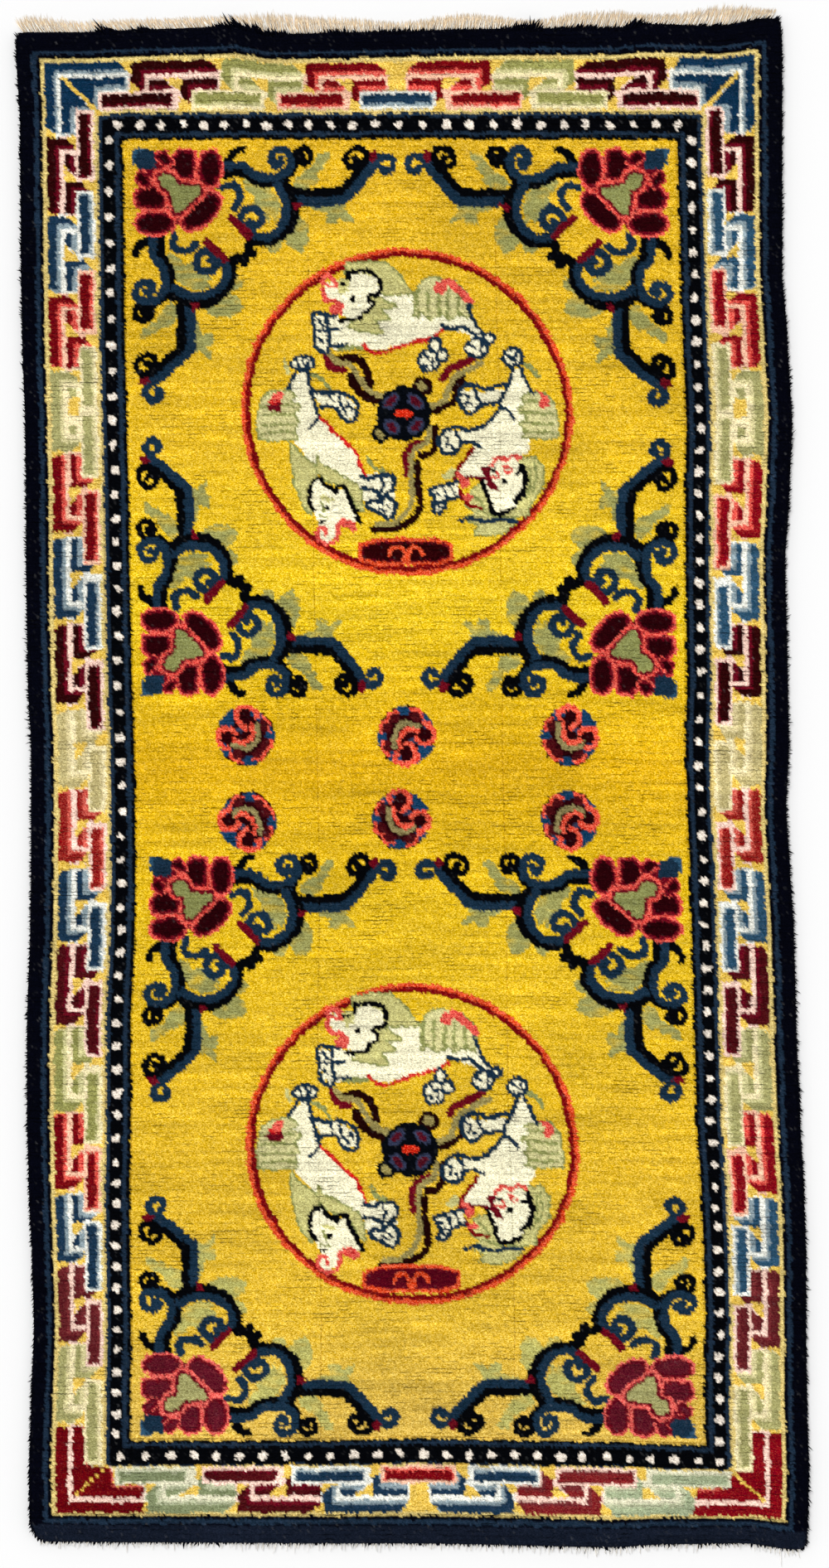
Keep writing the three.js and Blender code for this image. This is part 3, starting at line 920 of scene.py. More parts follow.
def draw_second_lion(pen):
    """The lion at the lower left, running down."""
    pen.area(
        "lion_cream", (74.5, 90.5), (76, 92), (77, 96), (78.6, 102), (82, 105.6), (86, 110),
        (89.3, 113.4), (90.8, 118), (90, 122), (86, 119.5), (78, 116), (72.5, 109.5), (71, 105),
        (72.5, 101), (71.5, 97.5), (70.3, 95.5), (72.5, 93),
    )
    pen.line("mane", 1.3, (70.2, 87.8), (70.8, 90.5))
    pen.line("plume_streak", 1.2, (77.3, 91.3), (79.8, 92.5), (81.8, 95.3))
    draw_paw(pen, (75, 88.4), (2.6, 1.5))
    draw_toes(
        pen, ((73.2, 87.2), (74, 89)), ((75, 86.8), (75.2, 88.6)), ((76.6, 87.4), (76, 89.2)),
        ((73.2, 89.6), (76.8, 89.8)),
    )
    draw_hair(
        pen, "plume", (64, 97.3), (66, 96), (69, 95.5), (71.5, 95.8), (72.8, 97), (70.5, 98),
        (73.8, 99.5), (72, 101.5), (73.2, 104), (72, 106), (72.8, 108.2), (67, 108.6),
        (62.8, 108.2), (62.3, 104), (63, 101.3), (63.2, 99.3),
    )
    for down in (99.3, 101.8, 104.3, 106.6):
        pen.line("plume_streak", 0.8, (63.5, down + 0.4), (68, down), (72.3, down + 0.2))
    pen.oval("bud", (67.1, 99.8), (2.1, 1.6))
    pen.oval("belly_red", (67.2, 98.3), (1.9, 0.9))
    pen.oval("coral", (67.8, 97.2), (1.7, 1.3), turn=-30)
    draw_hair(
        pen, "mane", (71.4, 109.8), (73.5, 112.5), (77, 115), (78.3, 117.5), (76.4, 119),
        (75.2, 124), (76.4, 128), (74.3, 125.5), (72.3, 120), (71.3, 114),
    )
    draw_hair(
        pen, "mane", (78.2, 113), (79.2, 115.2), (82, 116.5), (86, 119), (88.5, 120.5), (89.7, 123),
        (90, 127.5), (88.3, 125.5), (86.5, 122.3), (84.5, 120.5), (81.5, 119.8), (79.5, 118.5),
        (78, 116),
    )
    # Lines of the back, the belly and the front leg.
    pen.line("stem_blue", 1.1, (72.8, 91), (70.9, 94.7))
    pen.line("stem_blue", 1.1, (76, 91.3), (77, 96), (78.8, 102.5))
    pen.line(
        "belly_red", 1, (79, 102.7), (82, 105.5), (85, 108.5), (88, 111.5), (89.5, 115),
        (90.7, 117.8),
    )
    pen.line("stem_blue", 0.9, (78.5, 102.8), (76, 105.5))
    pen.area(
        "lion_cream", (77.3, 96), (84, 96.6), (88.3, 98.8), (88, 103.3), (85, 102.3), (83, 99.6),
        (79.2, 99.5),
    )
    pen.line(
        "stem_blue", 1.2, (77, 95.5), (81, 96.2), (84, 96), (87.6, 97.4), (89, 99.6), (88.6, 102.4),
        (87.4, 104), (84.8, 102.6), (83, 99.9), (79, 99.9),
    )
    draw_toes(
        pen, ((81.5, 96.4), (82.4, 98)), ((84.2, 96.8), (84.6, 99.6), (86, 101.6)),
        ((86.6, 98.8), (87.6, 100.6)), ((85.8, 100), (86.8, 100)),
    )
    # The paws under the chin.
    pen.area(
        "lion_cream", (90.3, 118), (94, 117.3), (98.7, 118.5), (98.5, 124), (98.8, 128),
        (97, 129.5), (94, 128), (90.3, 124.5),
    )
    pen.line(
        "stem_blue", 1.2, (90, 118.2), (92.5, 119), (94.6, 118), (98.3, 118.4), (98.4, 121.6),
        (96.4, 123.2), (98.7, 125), (98.8, 127.8), (97, 129.6), (94.4, 128.2), (91.5, 126.2),
        (92.5, 124.9), (95.3, 125.2),
    )
    pen.line("stem_blue", 1.1, (89.8, 121.6), (93.6, 122.2), (95.4, 124.4), (96.4, 123.2))
    draw_toes(
        pen, ((95, 118.6), (95.8, 120.8)), ((95.4, 120.6), (95.2, 123)),
        ((94.4, 126.4), (96, 127.6)), ((96.4, 126), (97.2, 126.8)),
    )
    pen.line("plume_streak", 1.3, (91.5, 113.5), (93.3, 115.8), (95.6, 117))
    # The head, upside down, with its snout at the bottom.
    pen.area(
        "lion_cream", (76.5, 119.5), (79, 119), (81, 121), (83, 122), (85, 121.5), (87, 124),
        (88.5, 128), (89.5, 130.5), (86, 130), (83.5, 132), (83, 134), (80.5, 136), (78.5, 134.5),
        (78.5, 131), (77, 127.5), (76, 124),
    )
    pen.line("mane", 1, (79.3, 123.6), (82, 124.4))
    pen.line("plume_streak", 0.7, (79.2, 125), (80, 127.6))
    pen.line("plume_streak", 0.7, (78.6, 128.6), (80.6, 128.8))
    pen.line(
        "black", 1.2, (77.2, 127.3), (76, 125), (76.3, 121), (77.3, 119.2), (79, 118.9),
        (80, 120.3), (82, 121.4), (83, 122.4), (83.5, 121), (85, 121), (86.5, 124), (88, 127),
        (89.5, 130.7),
    )
    pen.oval("black", (80.9, 126.4), (0.9, 0.7))
    pen.oval("black", (79.2, 130.1), (1, 0.6))
    pen.line(
        "coral", 1.2, (80.2, 133.4), (79.6, 131.9), (78, 132.2), (78, 134.5), (80, 136),
        (82.5, 135.3), (83.6, 133), (83.7, 131.2), (85, 130), (87, 130.3), (88, 132),
    )
    pen.area("coral", (84, 130.8), (86, 129.2), (88.4, 131), (87.6, 133.2), (85.5, 131.8))


def draw_third_lion(pen):
    """The lion at the lower right, running down."""
    pen.line("plume_streak", 1.4, (133.3, 88.3), (135.6, 89.6), (137.3, 91.8))
    draw_paw(pen, (130.8, 86.7), (2, 1.7), rim=1.1)
    draw_toes(pen, ((129.4, 86), (130.6, 87)), ((131.8, 85.6), (131.6, 87.6)))
    pen.area(
        "lion_cream", (132, 89.3), (133.5, 92.5), (135.8, 96), (134, 98), (134, 104), (134.5, 108),
        (135, 110.5), (132, 113.8), (127, 114), (123.5, 116), (121.5, 119), (118.5, 118.5),
        (115.3, 117.5), (117, 114.5), (119.5, 111), (121, 109.8), (116.3, 109.7), (115.3, 111.3),
        (113, 112.3), (111, 111), (110.8, 108.3), (113, 106.2), (118, 106), (122.3, 104.6),
        (127, 100), (127.5, 96), (130, 92.5),
    )
    draw_hair(
        pen, "plume", (133, 97.2), (136, 96.3), (138.5, 96), (141.5, 99), (142, 104), (142, 107.8),
        (136, 108), (132.5, 107.6), (134.5, 106.3), (132.2, 104.3), (134.3, 102.4), (131.8, 100.8),
        (134.3, 99),
    )
    for down in (98.3, 101.2, 103.9, 106.2):
        pen.line("plume_streak", 0.8, (133, down), (136.5, down + 0.2), (141, down + 0.5))
    pen.area(
        "coral", (136.6, 95.5), (138.5, 95.8), (140.5, 98), (139.8, 100), (137.8, 100.2),
        (137.2, 98.6), (138.2, 97.6),
    )
    # Lines of the back and the two forelegs.
    pen.area(
        "lion_cream", (128, 95), (122.5, 96), (117, 95.3), (116.6, 98), (117.6, 100.6), (120, 101),
        (122, 99.3), (127, 98.3),
    )
    pen.line("stem_blue", 1.1, (130.8, 89.5), (129.6, 93.6), (127.6, 97), (127, 99.7))
    pen.line("stem_blue", 1.1, (132.8, 89.6), (134.3, 93.2), (136, 96.3))
    pen.line("stem_blue", 0.9, (127, 99.7), (129.3, 101.3), (130.6, 103.2))
    pen.line(
        "stem_blue", 1.2, (127, 99.7), (124.6, 103), (121.5, 105.3), (118, 105.9), (115.6, 105.2),
        (112.8, 105.8), (110.7, 108), (110.6, 110.4), (112.6, 112.4), (115.2, 111.8),
        (116.3, 109.6),
    )
    pen.line("stem_blue", 1, (116.3, 109.6), (119, 109.3), (121.6, 110.2))
    pen.line("stem_blue", 1, (114.8, 105.8), (116, 108), (116.3, 109.6))
    pen.line(
        "stem_blue", 1.2, (128, 94), (125.4, 94.6), (123, 95.2), (121, 94.2), (118.6, 93.9),
        (116.4, 95.6), (116.2, 98.6), (117.8, 101.3), (120.2, 101.2), (122, 99.4), (127, 98.6),
    )
    pen.line("stem_blue", 1, (120.2, 94.6), (121, 97.4), (122.2, 99.2))
    draw_toes(
        pen, ((117.2, 96.4), (118.6, 97.2)), ((118.6, 97.2), (118, 99)),
        ((118.6, 98.8), (119.8, 99.6)), ((111.8, 107.8), (113.2, 108.6)),
        ((113.2, 108.6), (112.6, 110.4)), ((114, 110), (114.6, 111)),
    )
    # The mane round the head.
    draw_hair(
        pen, "mane", (133, 113.3), (136, 113.3), (138.2, 116), (138, 121), (135, 124.7),
        (134, 128.3), (130, 129.2), (124.5, 128.2), (120, 127.7), (117.8, 126), (119, 122),
        (122.5, 120.5),
    )
    draw_hair(
        pen, "mane", (117.8, 129.7), (121, 127.8), (126, 129.7), (130.7, 130.2), (128, 132.8),
        (124, 133.8), (119.7, 133.2), (121.5, 131.5),
    )
    pen.line("plume_streak", 0.7, (136, 114.6), (136.4, 119), (135.4, 122.6))
    pen.line("plume_streak", 0.7, (134.8, 116), (135, 120), (133.8, 124))
    pen.line("plume_streak", 0.7, (119.6, 123), (122, 125.4), (122.6, 127.2))
    pen.line("stem_blue", 1.1, (116, 130), (119, 129.6), (123, 130.2), (127, 129.7), (131, 130.1))
    pen.area("mane", (111, 118.5), (114, 115.8), (116, 117), (113, 119.5))
    # The head, seen from the front.
    pen.area(
        "lion_cream", (123, 115), (126, 113.5), (131, 113.5), (133, 116), (134, 119.5),
        (133, 123.5), (130.5, 126.5), (128, 128), (124.5, 127.5), (123, 123), (121.5, 120),
    )
    pen.line(
        "black", 1.3, (121.9, 119.2), (123, 122), (124, 125), (124.8, 127.8), (128, 128.1),
        (130.3, 126.7),
    )
    pen.line("black", 1.6, (132.6, 115.2), (133.7, 119), (132.9, 122.5), (131, 124.8))
    pen.line(
        "coral", 1.1, (124.5, 115.3), (125.5, 113.8), (127, 113.2), (128.5, 114.2), (130, 112.9),
        (132.2, 113.6),
    )
    pen.area(
        "bud", (121.8, 115.8), (124.5, 115.6), (124, 118), (126.5, 122.2), (124.5, 121.8),
        (122.8, 119),
    )
    pen.line("coral", 0.8, (124.6, 118.3), (126.4, 118.6), (126, 116.9))
    pen.line("coral", 0.7, (127.6, 115.9), (130, 116.1), (128.8, 117.4), (127.6, 115.9))
    pen.oval("black", (125.3, 116.6), (0.8, 0.6))
    pen.oval("black", (131.5, 117.4), (0.8, 0.6))
    pen.oval("black", (127.7, 119.5), (0.9, 0.8))
    # The collar and the paw beside it.
    pen.line(
        "ring_red", 1.1, (119.5, 111), (117, 114.5), (115.3, 117), (115, 120), (116.5, 123.5),
        (118.5, 126), (122, 126.7),
    )
    pen.area("coral", (115, 116.6), (116.6, 117.8), (118.4, 118.5), (119, 120.6), (116.6, 122))
    pen.line("bud", 0.9, (117.5, 118.6), (121.8, 118.7))
    pen.oval("coral", (118.3, 124), (1.3, 1))
    pen.area(
        "lion_cream", (108.5, 122), (112, 120.3), (115.8, 120.4), (115.8, 123.5), (112.5, 125),
        (111.3, 127.5), (109.3, 127.5),
    )
    pen.line(
        "stem_blue", 1.1, (115.7, 123.5), (112.6, 125), (111, 127.8), (109, 127.3), (109.3, 124.3),
        (108.3, 122), (110.5, 121), (113.5, 120.1), (116, 119.8),
    )
    draw_toes(
        pen, ((111.5, 121), (112.6, 124.6), (110, 125)), ((113.6, 121), (114.4, 123)),
        ((109.8, 122.8), (110.6, 123.4)), ((110.2, 125.8), (110.8, 126.6)),
    )


def draw_ball(pen):
    """The brocade ball between the lions, and its loops."""
    pen.oval("ribbon_maroon", (106.5, 94.5), (2.9, 2.7))
    pen.oval("ribbon_green", (106.3, 94.4), (1.4, 1.1))
    pen.oval("ball_navy", (95.2, 107), (2.8, 2.4))
    pen.oval("ribbon_green", (95.2, 107.1), (1.5, 1.1))
    pen.oval("ball_navy", (101.3, 101.8), (7.4, 7.4))
    for across, down, turn in ((-3.3, -3.3, -45), (3.3, -3.3, 45), (-3.3, 3.3, 45), (3.3, 3.3, -45)):
        centre = (101.3 + across, 101.8 + down)
        pen.oval("ball_petal", centre, (1.8, 0.9), turn=turn, rims=(("ball_rim", 0.8),))
    pen.oval("ball_heart", (101.3, 101.8), (2.4, 1.2))
    pen.line("ball_navy", 0.7, (101.3, 99), (101.3, 96))
    pen.line("ball_navy", 0.7, (101.3, 104.6), (101.3, 107))


def draw_ribbons(pen):
    """The three ribbons that fly from the ball."""
    pen.line("bud", 2.3, (81.2, 86.4), (82.4, 89), (85.4, 90))
    pen.line("ribbon_maroon", 2.1, (84.6, 87), (89, 87.1), (91.6, 89.8), (92.6, 94))
    pen.line("ribbon_maroon", 2.3, (87.2, 91.8), (89, 95), (92, 97.6), (95.5, 98.6))
    pen.line(
        "ribbon_green", 1.6, (82.2, 85.8), (84.2, 88), (87.6, 88.7), (89.3, 91.5), (91.4, 94.7),
        (94, 96.7), (96.5, 96.8),
    )
    pen.line("bud", 2, (120.6, 86.9), (116.5, 88.8), (113.5, 90.3), (111.8, 92.5))
    pen.line(
        "ribbon_maroon", 2, (117.3, 92), (115.4, 94.5), (114.8, 98), (111.5, 100.3), (109, 101),
    )
    pen.line(
        "ribbon_green", 1.5, (122.5, 88.2), (118, 90.3), (115, 92.1), (113.2, 95.5), (112, 98.3),
        (109, 99.6),
    )
    pen.line("ribbon_maroon", 1.9, (109.6, 105.5), (109.4, 110.5), (107.4, 112.8), (105.6, 112.8))
    pen.line("bud", 2, (106, 109.3), (102.9, 110.7), (101.7, 113))
    pen.line("bud", 2, (101.6, 114.8), (102, 118))
    pen.line(
        "ribbon_maroon", 1.9, (104.8, 114.8), (105, 121), (105.4, 127), (102.4, 130.6),
        (98.5, 132.4), (93, 132.3),
    )
    pen.line(
        "ribbon_green", 1.5, (108, 105.5), (107.4, 109), (104.8, 110.9), (103.3, 113), (103.1, 119),
        (103.4, 124), (101.5, 128.4), (98, 130.9), (94, 131),
    )


def draw_cartouche(pen):
    """The dark cartouche at the foot of a medallion, with its two curls."""
    pen.area(
        "cartouche", (90, 137.2), (94, 136), (109, 136), (113, 137.2), (113, 139.5), (109, 140.7),
        (94, 140.7), (90, 139.5), rims=(("ring_coral", 1.4), ("bud", 0.4)),
    )
    for half in (pen, pen.mirrored(101.5)):
        half.line("ring_coral", 1, (97, 139.2), (98, 137.5), (100, 137.3), (101, 138.8), (101, 141))


def draw_medallions(chart):
    """The two medallions of three lions at play, the lower one drawn a little apart."""
    none = {name: (0, 0) for name in LOWER_BY}
    for by, ring_centre, ring_radii, renamed in (
        (none, (102.3, 101.3), (44.3, 43.5), ()),
        (LOWER_BY, (101.5, 295.3), (43.7, 42.7), {"cartouche": "faded_cartouche"}),
    ):
        draw_ring(Pen(chart, ring_centre), ring_radii)
        draw_ribbons(Pen(chart, by["ball"]))
        draw_first_lion(Pen(chart, by["first_lion"]))
        draw_second_lion(Pen(chart, by["lions"]))
        draw_third_lion(Pen(chart, by["lions"]))
        draw_ball(Pen(chart, by["ball"]))
        draw_cartouche(Pen(chart, by["cartouche"], renamed=renamed))


# The six round flowers across the middle: centre, and whether each is mirrored across and down.
ROUND_FLOWERS = (
    ((58, 187), True, False),
    ((101, 187), False, True),
    ((145, 187), False, False),
    ((58, 209.5), True, True),
    ((99, 209.5), False, False),
    ((144.5, 209), False, True),
)


def draw_round_flower(pen):
    """A disc of two blossoms on a bent twig, with its leaves behind and petals round the rim."""
    def around(turn, distance):
        """The place at an angle in degrees and a distance from the middle."""
        return distance * math.cos(math.radians(turn)), distance * math.sin(math.radians(turn))

    pen.oval("petal", (0, 0), (7.7, 7.9))
    for turn in (183, 98, 34, 240):
        pen.oval("bright_blue", around(turn, 6.5), (2.2, 1.3), turn=turn + 90)
    for turn in (211, 156, 124, 62):
        pen.oval("dull_maroon", around(turn, 5.6), (1.7, 1.3), turn=turn + 90)
        pen.line(
            "round_coral", 0.8, around(turn - 17, 6.4), around(turn, 7.3), around(turn + 17, 6.8),
        )
    pen.area(
        "bright_blue", (2, -7.5), (4.5, -6.7), (7, -4.2), (7.6, -2.7), (5, -2.6), (3.2, -2.6),
        (3.4, -5),
    )
    pen.oval("ball_rim", (1.9, -1.6), (1.4, 0.8))
    pen.line(
        "round_coral", 1.45, (-2.7, -5), (-3, -6.4), (-1.5, -7.5), (0.5, -7.7), (2.3, -6.6),
        (2.5, -4.5), (1.5, -3), (0.3, -2.2),
    )
    pen.line(
        "round_coral", 1.45, (2.8, -0.8), (4, -1.9), (6, -2.1), (7.3, -1), (7.5, 1), (6.4, 2.5),
        (4.8, 3.3),
    )
    pen.line("khaki", 1.4, (-3.2, -3), (-3, 0), (-2, 2.2), (0, 3.1), (3, 2.6), (3.5, 1.5))
    pen.line("round_coral", 1.25, (-1.7, -3.3), (-1.7, -1), (-0.5, 1), (1.5, 1.7), (3.2, 1))


def draw_round_flowers(chart):
    """The six round flowers, some of them mirrored."""
    for centre, mirrored_across, mirrored_down in ROUND_FLOWERS:
        across = -1 if mirrored_across else 1
        down = -1 if mirrored_down else 1
        draw_round_flower(Pen(chart, centre, (across, 0), (0, down)))


def make_chart():
    """The chart of the whole rug, drawn from the borders to the motifs that lie over them."""
    chart = Chart()
    pen = Pen(chart)
    draw_bands(pen)
    draw_key_border(chart)
    draw_pearls(pen)
    draw_brackets(chart)
    draw_medallions(chart)
    draw_round_flowers(chart)
    return chart


# How uneven the dyeing is, as shares of a colour: from point to point, in streaks along the rows
# and in wide patches. Then the share of the points where pale lint lies, and how strong it is.
POINT_TONE = 0.1
STREAK_TONE = 0.11
STREAK_LENGTH = 13
PATCH_TONE = 0.06
PATCH_SIZE = 16
LINT_SHARE = 0.06
LINT = 0.008

# The leaves are streaked with the ground's tone: how unevenly, and how much of it at most.
LEAVES = ("leaf", "pale_leaf")
LEAF_STREAK = 0.3
LEAF_STREAK_LENGTH = 2.5
LEAF_GROUND = 0.6


def pile_colours(chart):
    """The colour of every point of the pile."""
    dyes = linear([DYES[name] for name in DYE_NAMES])
    colours = dyes[chart.dye]
    rows = np.arange(KNOTS_DOWN * CELLS + 1) / CELLS
    places = [down for down, _ in FIELD_TONES]
    tones = linear([tone for _, tone in FIELD_TONES])
    ground = np.stack([np.interp(rows, places, tones[:, part]) for part in range(3)], axis=-1)
    on_ground = chart.dye == DYE_NAMES.index("field")
    colours[on_ground] = np.broadcast_to(ground[:, None, :], colours.shape)[on_ground]
    on_leaf = np.isin(chart.dye, [DYE_NAMES.index(name) for name in LEAVES])
    ground_share = np.clip(LEAF_STREAK * soft_noise(1, LEAF_STREAK_LENGTH), 0, LEAF_GROUND)[..., None]
    streaked = colours * (1 - ground_share) + ground[:, None, :] * ground_share
    colours[on_leaf] = streaked[on_leaf]
    tone = POINT_TONE * random.normal(0, 1, chart.dye.shape)
    tone += STREAK_TONE * soft_noise(1, STREAK_LENGTH)
    tone += PATCH_TONE * soft_noise(PATCH_SIZE, PATCH_SIZE)
    lint = random.exponential(LINT, tone.shape) * (random.random(tone.shape) < LINT_SHARE)
    return colours * np.exp(tone)[..., None] + lint[..., None]


def sample(table, column, at):
    """A column of a table at places between its rows, smoothly blended."""
    places = table[:, 0]
    row = np.clip(np.searchsorted(places, at) - 1, 0, len(places) - 2)
    share = np.clip((at - places[row]) / (places[row + 1] - places[row]), 0, 1)
    eased = 0.5 * share + 0.5 * share**2 * (3 - 2 * share)
    return table[row, column] * (1 - eased) + table[row + 1, column] * eased


def piecewise(at, places, values):
    """Blends evenly from each value to the next, as a place moves past the given ones."""
    found = values[0] + 0 * at
    for start, end, low, high in zip(places, places[1:], values, values[1:]):
        share = np.clip((at - start) / (end - start), 0, 1)
        found = np.where(at >= start, low + (high - low) * share, found)
    return found


def body_shift():
    """From the middle of the tables' outline to the middle of the rug's body, in metres."""
    low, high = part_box("rug_body")
    left, right = LONG_EDGES[:, LEFT_EDGE].min(), LONG_EDGES[:, RIGHT_EDGE].max()
    lower, upper = LOWER_END[:, PILE_END].min(), UPPER_END[:, PILE_END].max()
    middle = np.array((left + right, lower + upper)) * MM / 2
    return np.array((low.x + high.x, low.y + high.y)) / 2 - middle


SHIFT = body_shift()

# The radii of the pile's four corners, in knots: at the left and at the right.
UPPER_RADII = (2.2, 1.6)
LOWER_RADII = (5.2, 2.4)


def rounded(across, down):
    """Chart places with the four corners of the pile rounded off."""
    upper = np.where(across < KNOTS_ACROSS / 2, *UPPER_RADII)
    lower = np.where(across < KNOTS_ACROSS / 2, *LOWER_RADII)
    radius = np.where(down < KNOTS_DOWN / 2, upper, lower)
    out = np.clip(radius - np.minimum(across, KNOTS_ACROSS - across), 0, None)
    up = np.clip(radius - np.minimum(down, KNOTS_DOWN - down), 0, None)
    share = np.maximum(out, up) / np.maximum(np.hypot(out, up), 1e-9)
    in_corner = (out > 0) & (up > 0)
    side_move = np.where(in_corner, out * (1 - share), 0) * np.sign(KNOTS_ACROSS / 2 - across)
    end_move = np.where(in_corner, up * (1 - share), 0) * np.sign(KNOTS_DOWN / 2 - down)
    return across + side_move, down + end_move


# How far the pile of the lower end leans out, in millimetres, and from how many knots inside.
PILE_SPILL = 2.6
SPILL_KNOTS = 4

# A place across depends on the place along and the other way round, so both are found in rounds.
PLACE_ROUNDS = 6


def on_rug(across, down):
    """Where places of the chart lie, in metres: the knots follow the rug's uneven edges."""
    across, down = rounded(np.asarray(across, float), np.asarray(down, float))
    x = (across - KNOTS_ACROSS / 2) * KNOT / MM
    y = (KNOTS_DOWN / 2 - down) * KNOT / MM
    last_pearls, right_pearls = KNOTS_DOWN - PEARLS_FROM_BOTTOM, KNOTS_ACROSS - PEARLS_IN
    for _ in range(PLACE_ROUNDS):
        y = piecewise(
            down,
            (0, PEARLS_FROM_TOP, last_pearls, KNOTS_DOWN),
            (
                sample(UPPER_END, PILE_END, x),
                sample(UPPER_END, PEARL_ROW, x),
                sample(LOWER_END, PEARL_ROW, x),
                sample(LOWER_END, PILE_END, x),
            ),
        )
        x = piecewise(
            across,
            (0, PEARLS_IN, right_pearls, KNOTS_ACROSS),
            (
                sample(LONG_EDGES, LEFT_EDGE, y),
                sample(LONG_EDGES, LEFT_PEARLS, y),
                sample(LONG_EDGES, RIGHT_PEARLS, y),
                sample(LONG_EDGES, RIGHT_EDGE, y),
            ),
        )
    spill = PILE_SPILL * np.clip((down - KNOTS_DOWN + SPILL_KNOTS) / SPILL_KNOTS, 0, 1) ** 2
    return x * MM + SHIFT[0], (y - spill) * MM + SHIFT[1]


# The rim of the pile: how high it stands at the very edge, and how far in it rounds up to its top.
EDGE_WALL = 0.0048
EDGE_ROUND = 0.006

# The relief of a tuft: its crown above the gaps between rows and between columns, and the
# roughness of the cut wool. Then how far the crown leans towards the lower end and how far its
# points stray, in knots.
ROW_GAP = 0.0009
COLUMN_GAP = 0.00035
ROUGHNESS = 0.0002
CROWN_LEAN = 0.12
PLACE_ROUGHNESS = 0.09

# How deep the pile is worn in bands across the rug, and in patches.
WORN_BANDS = 0.00027
WORN_PATCHES = 0.00018


def pile_surface():
    """The corner points of every cell, on top of the pile."""
    across, down = np.meshgrid(
        np.arange(KNOTS_ACROSS * CELLS + 1) / CELLS, np.arange(KNOTS_DOWN * CELLS + 1) / CELLS
    )
    in_row_gap = down % 1 == 0
    in_column_gap = across % 1 == 0
    from_edge = np.minimum.reduce((across, KNOTS_ACROSS - across, down, KNOTS_DOWN - down)) * KNOT
    moved_across = across + random.normal(0, PLACE_ROUGHNESS, across.shape)
    moved_down = down + random.normal(0, PLACE_ROUGHNESS, down.shape) + CROWN_LEAN * ~in_row_gap
    x, y = on_rug(moved_across, moved_down)
    rise = 1 - np.clip(from_edge / EDGE_ROUND, 0, 1)
    shoulder = EDGE_WALL + (PILE_TOP - EDGE_WALL) * np.sqrt(1 - rise**2)
    relief = -ROW_GAP * in_row_gap - COLUMN_GAP * in_column_gap
    relief += random.normal(0, ROUGHNESS, relief.shape)
    return np.stack((x, y, shoulder + worn(x, y) + relief), axis=-1)


def worn(x, y):
    """How much higher or lower the pile is worn: soft bands across the rug and patches."""
    bands = np.sin(y / (61 * MM)) * np.sin(y / (23 * MM))
    slope = y / (140 * MM)
    patches = np.sin(x / (83 * MM) + slope) * np.cos(x / (47 * MM) - slope)
    return WORN_BANDS * bands + WORN_PATCHES * patches


def level_points(height):
    """The knots' corner points at one height."""
    across, down = np.meshgrid(np.arange(KNOTS_ACROSS + 1.0), np.arange(KNOTS_DOWN + 1.0))
    x, y = on_rug(across, down)
    return np.stack((x, y, np.full(x.shape, height)), axis=-1)


def fine_faces(chosen, cells, fine_columns):
    """The cells' faces on the fine side of a slab."""
    down, across = np.nonzero(chosen)
    cell_down = (down[:, None, None] * cells + np.arange(cells)[:, None]).repeat(cells, axis=2)
    cell_across = (across[:, None, None] * cells + np.arange(cells)).repeat(cells, axis=1)
    corner = (cell_down * fine_columns + cell_across).ravel()
    return np.stack((corner, corner + fine_columns, corner + fine_columns + 1, corner + 1), axis=-1)


def wall_faces(chosen, cells, fine_columns, plain_start):
    """The walls around a slab, which join its fine side to its plain one."""
    framed = np.pad(chosen, 1)
    steps = np.arange(cells, -1, -1)
    # For each side of a knot: whether its neighbour is chosen, its first corner and the way on.
    sides = (
        (framed[1:-1, :-2], (0, 0), (1, 0)),
        (framed[1:-1, 2:], (1, 1), (-1, 0)),
        (framed[:-2, 1:-1], (0, 1), (0, -1)),
        (framed[2:, 1:-1], (1, 0), (0, 1)),
    )
    walls = []
    for neighbour, first, way in sides:
        knot_down, knot_across = np.nonzero(chosen & ~neighbour)
        start_down, start_across = knot_down + first[0], knot_across + first[1]
        foot = plain_start + start_down * (KNOTS_ACROSS + 1) + start_across
        next_foot = foot + way[0] * (KNOTS_ACROSS + 1) + way[1]
        top_down = start_down[:, None] * cells + way[0] * steps
        top_across = start_across[:, None] * cells + way[1] * steps
        walls.append(np.column_stack((foot, next_foot, top_down * fine_columns + top_across)))
    return np.concatenate(walls)


# How many knots long the strips of a plain side are at most.
STRIP_KNOTS = 12


def plain_faces(chosen, plain_start):
    """The long strips on the plain side of a slab, with a corner kept wherever the slab ends."""
    framed = np.pad(chosen, 1)
    around = [framed[:-1, :-1], framed[:-1, 1:], framed[1:, :-1], framed[1:, 1:]]
    kept = np.any(around, axis=0) & ~np.all(around, axis=0)
    kept[:, ::STRIP_KNOTS] = True
    strips = []
    for row, knots in enumerate(chosen):
        upper_start = plain_start + row * (KNOTS_ACROSS + 1)
        edges = np.flatnonzero(np.diff(np.pad(knots, 1).astype(int)))
        for left, right in zip(edges[::2], edges[1::2]):
            columns = range(left, right + 1)
            upper = [upper_start + column for column in columns if kept[row, column]]
            lower = [upper_start + KNOTS_ACROSS + 1 + column for column in columns if kept[row + 1, column]]
            strips.append(upper + lower[::-1])
    return strips


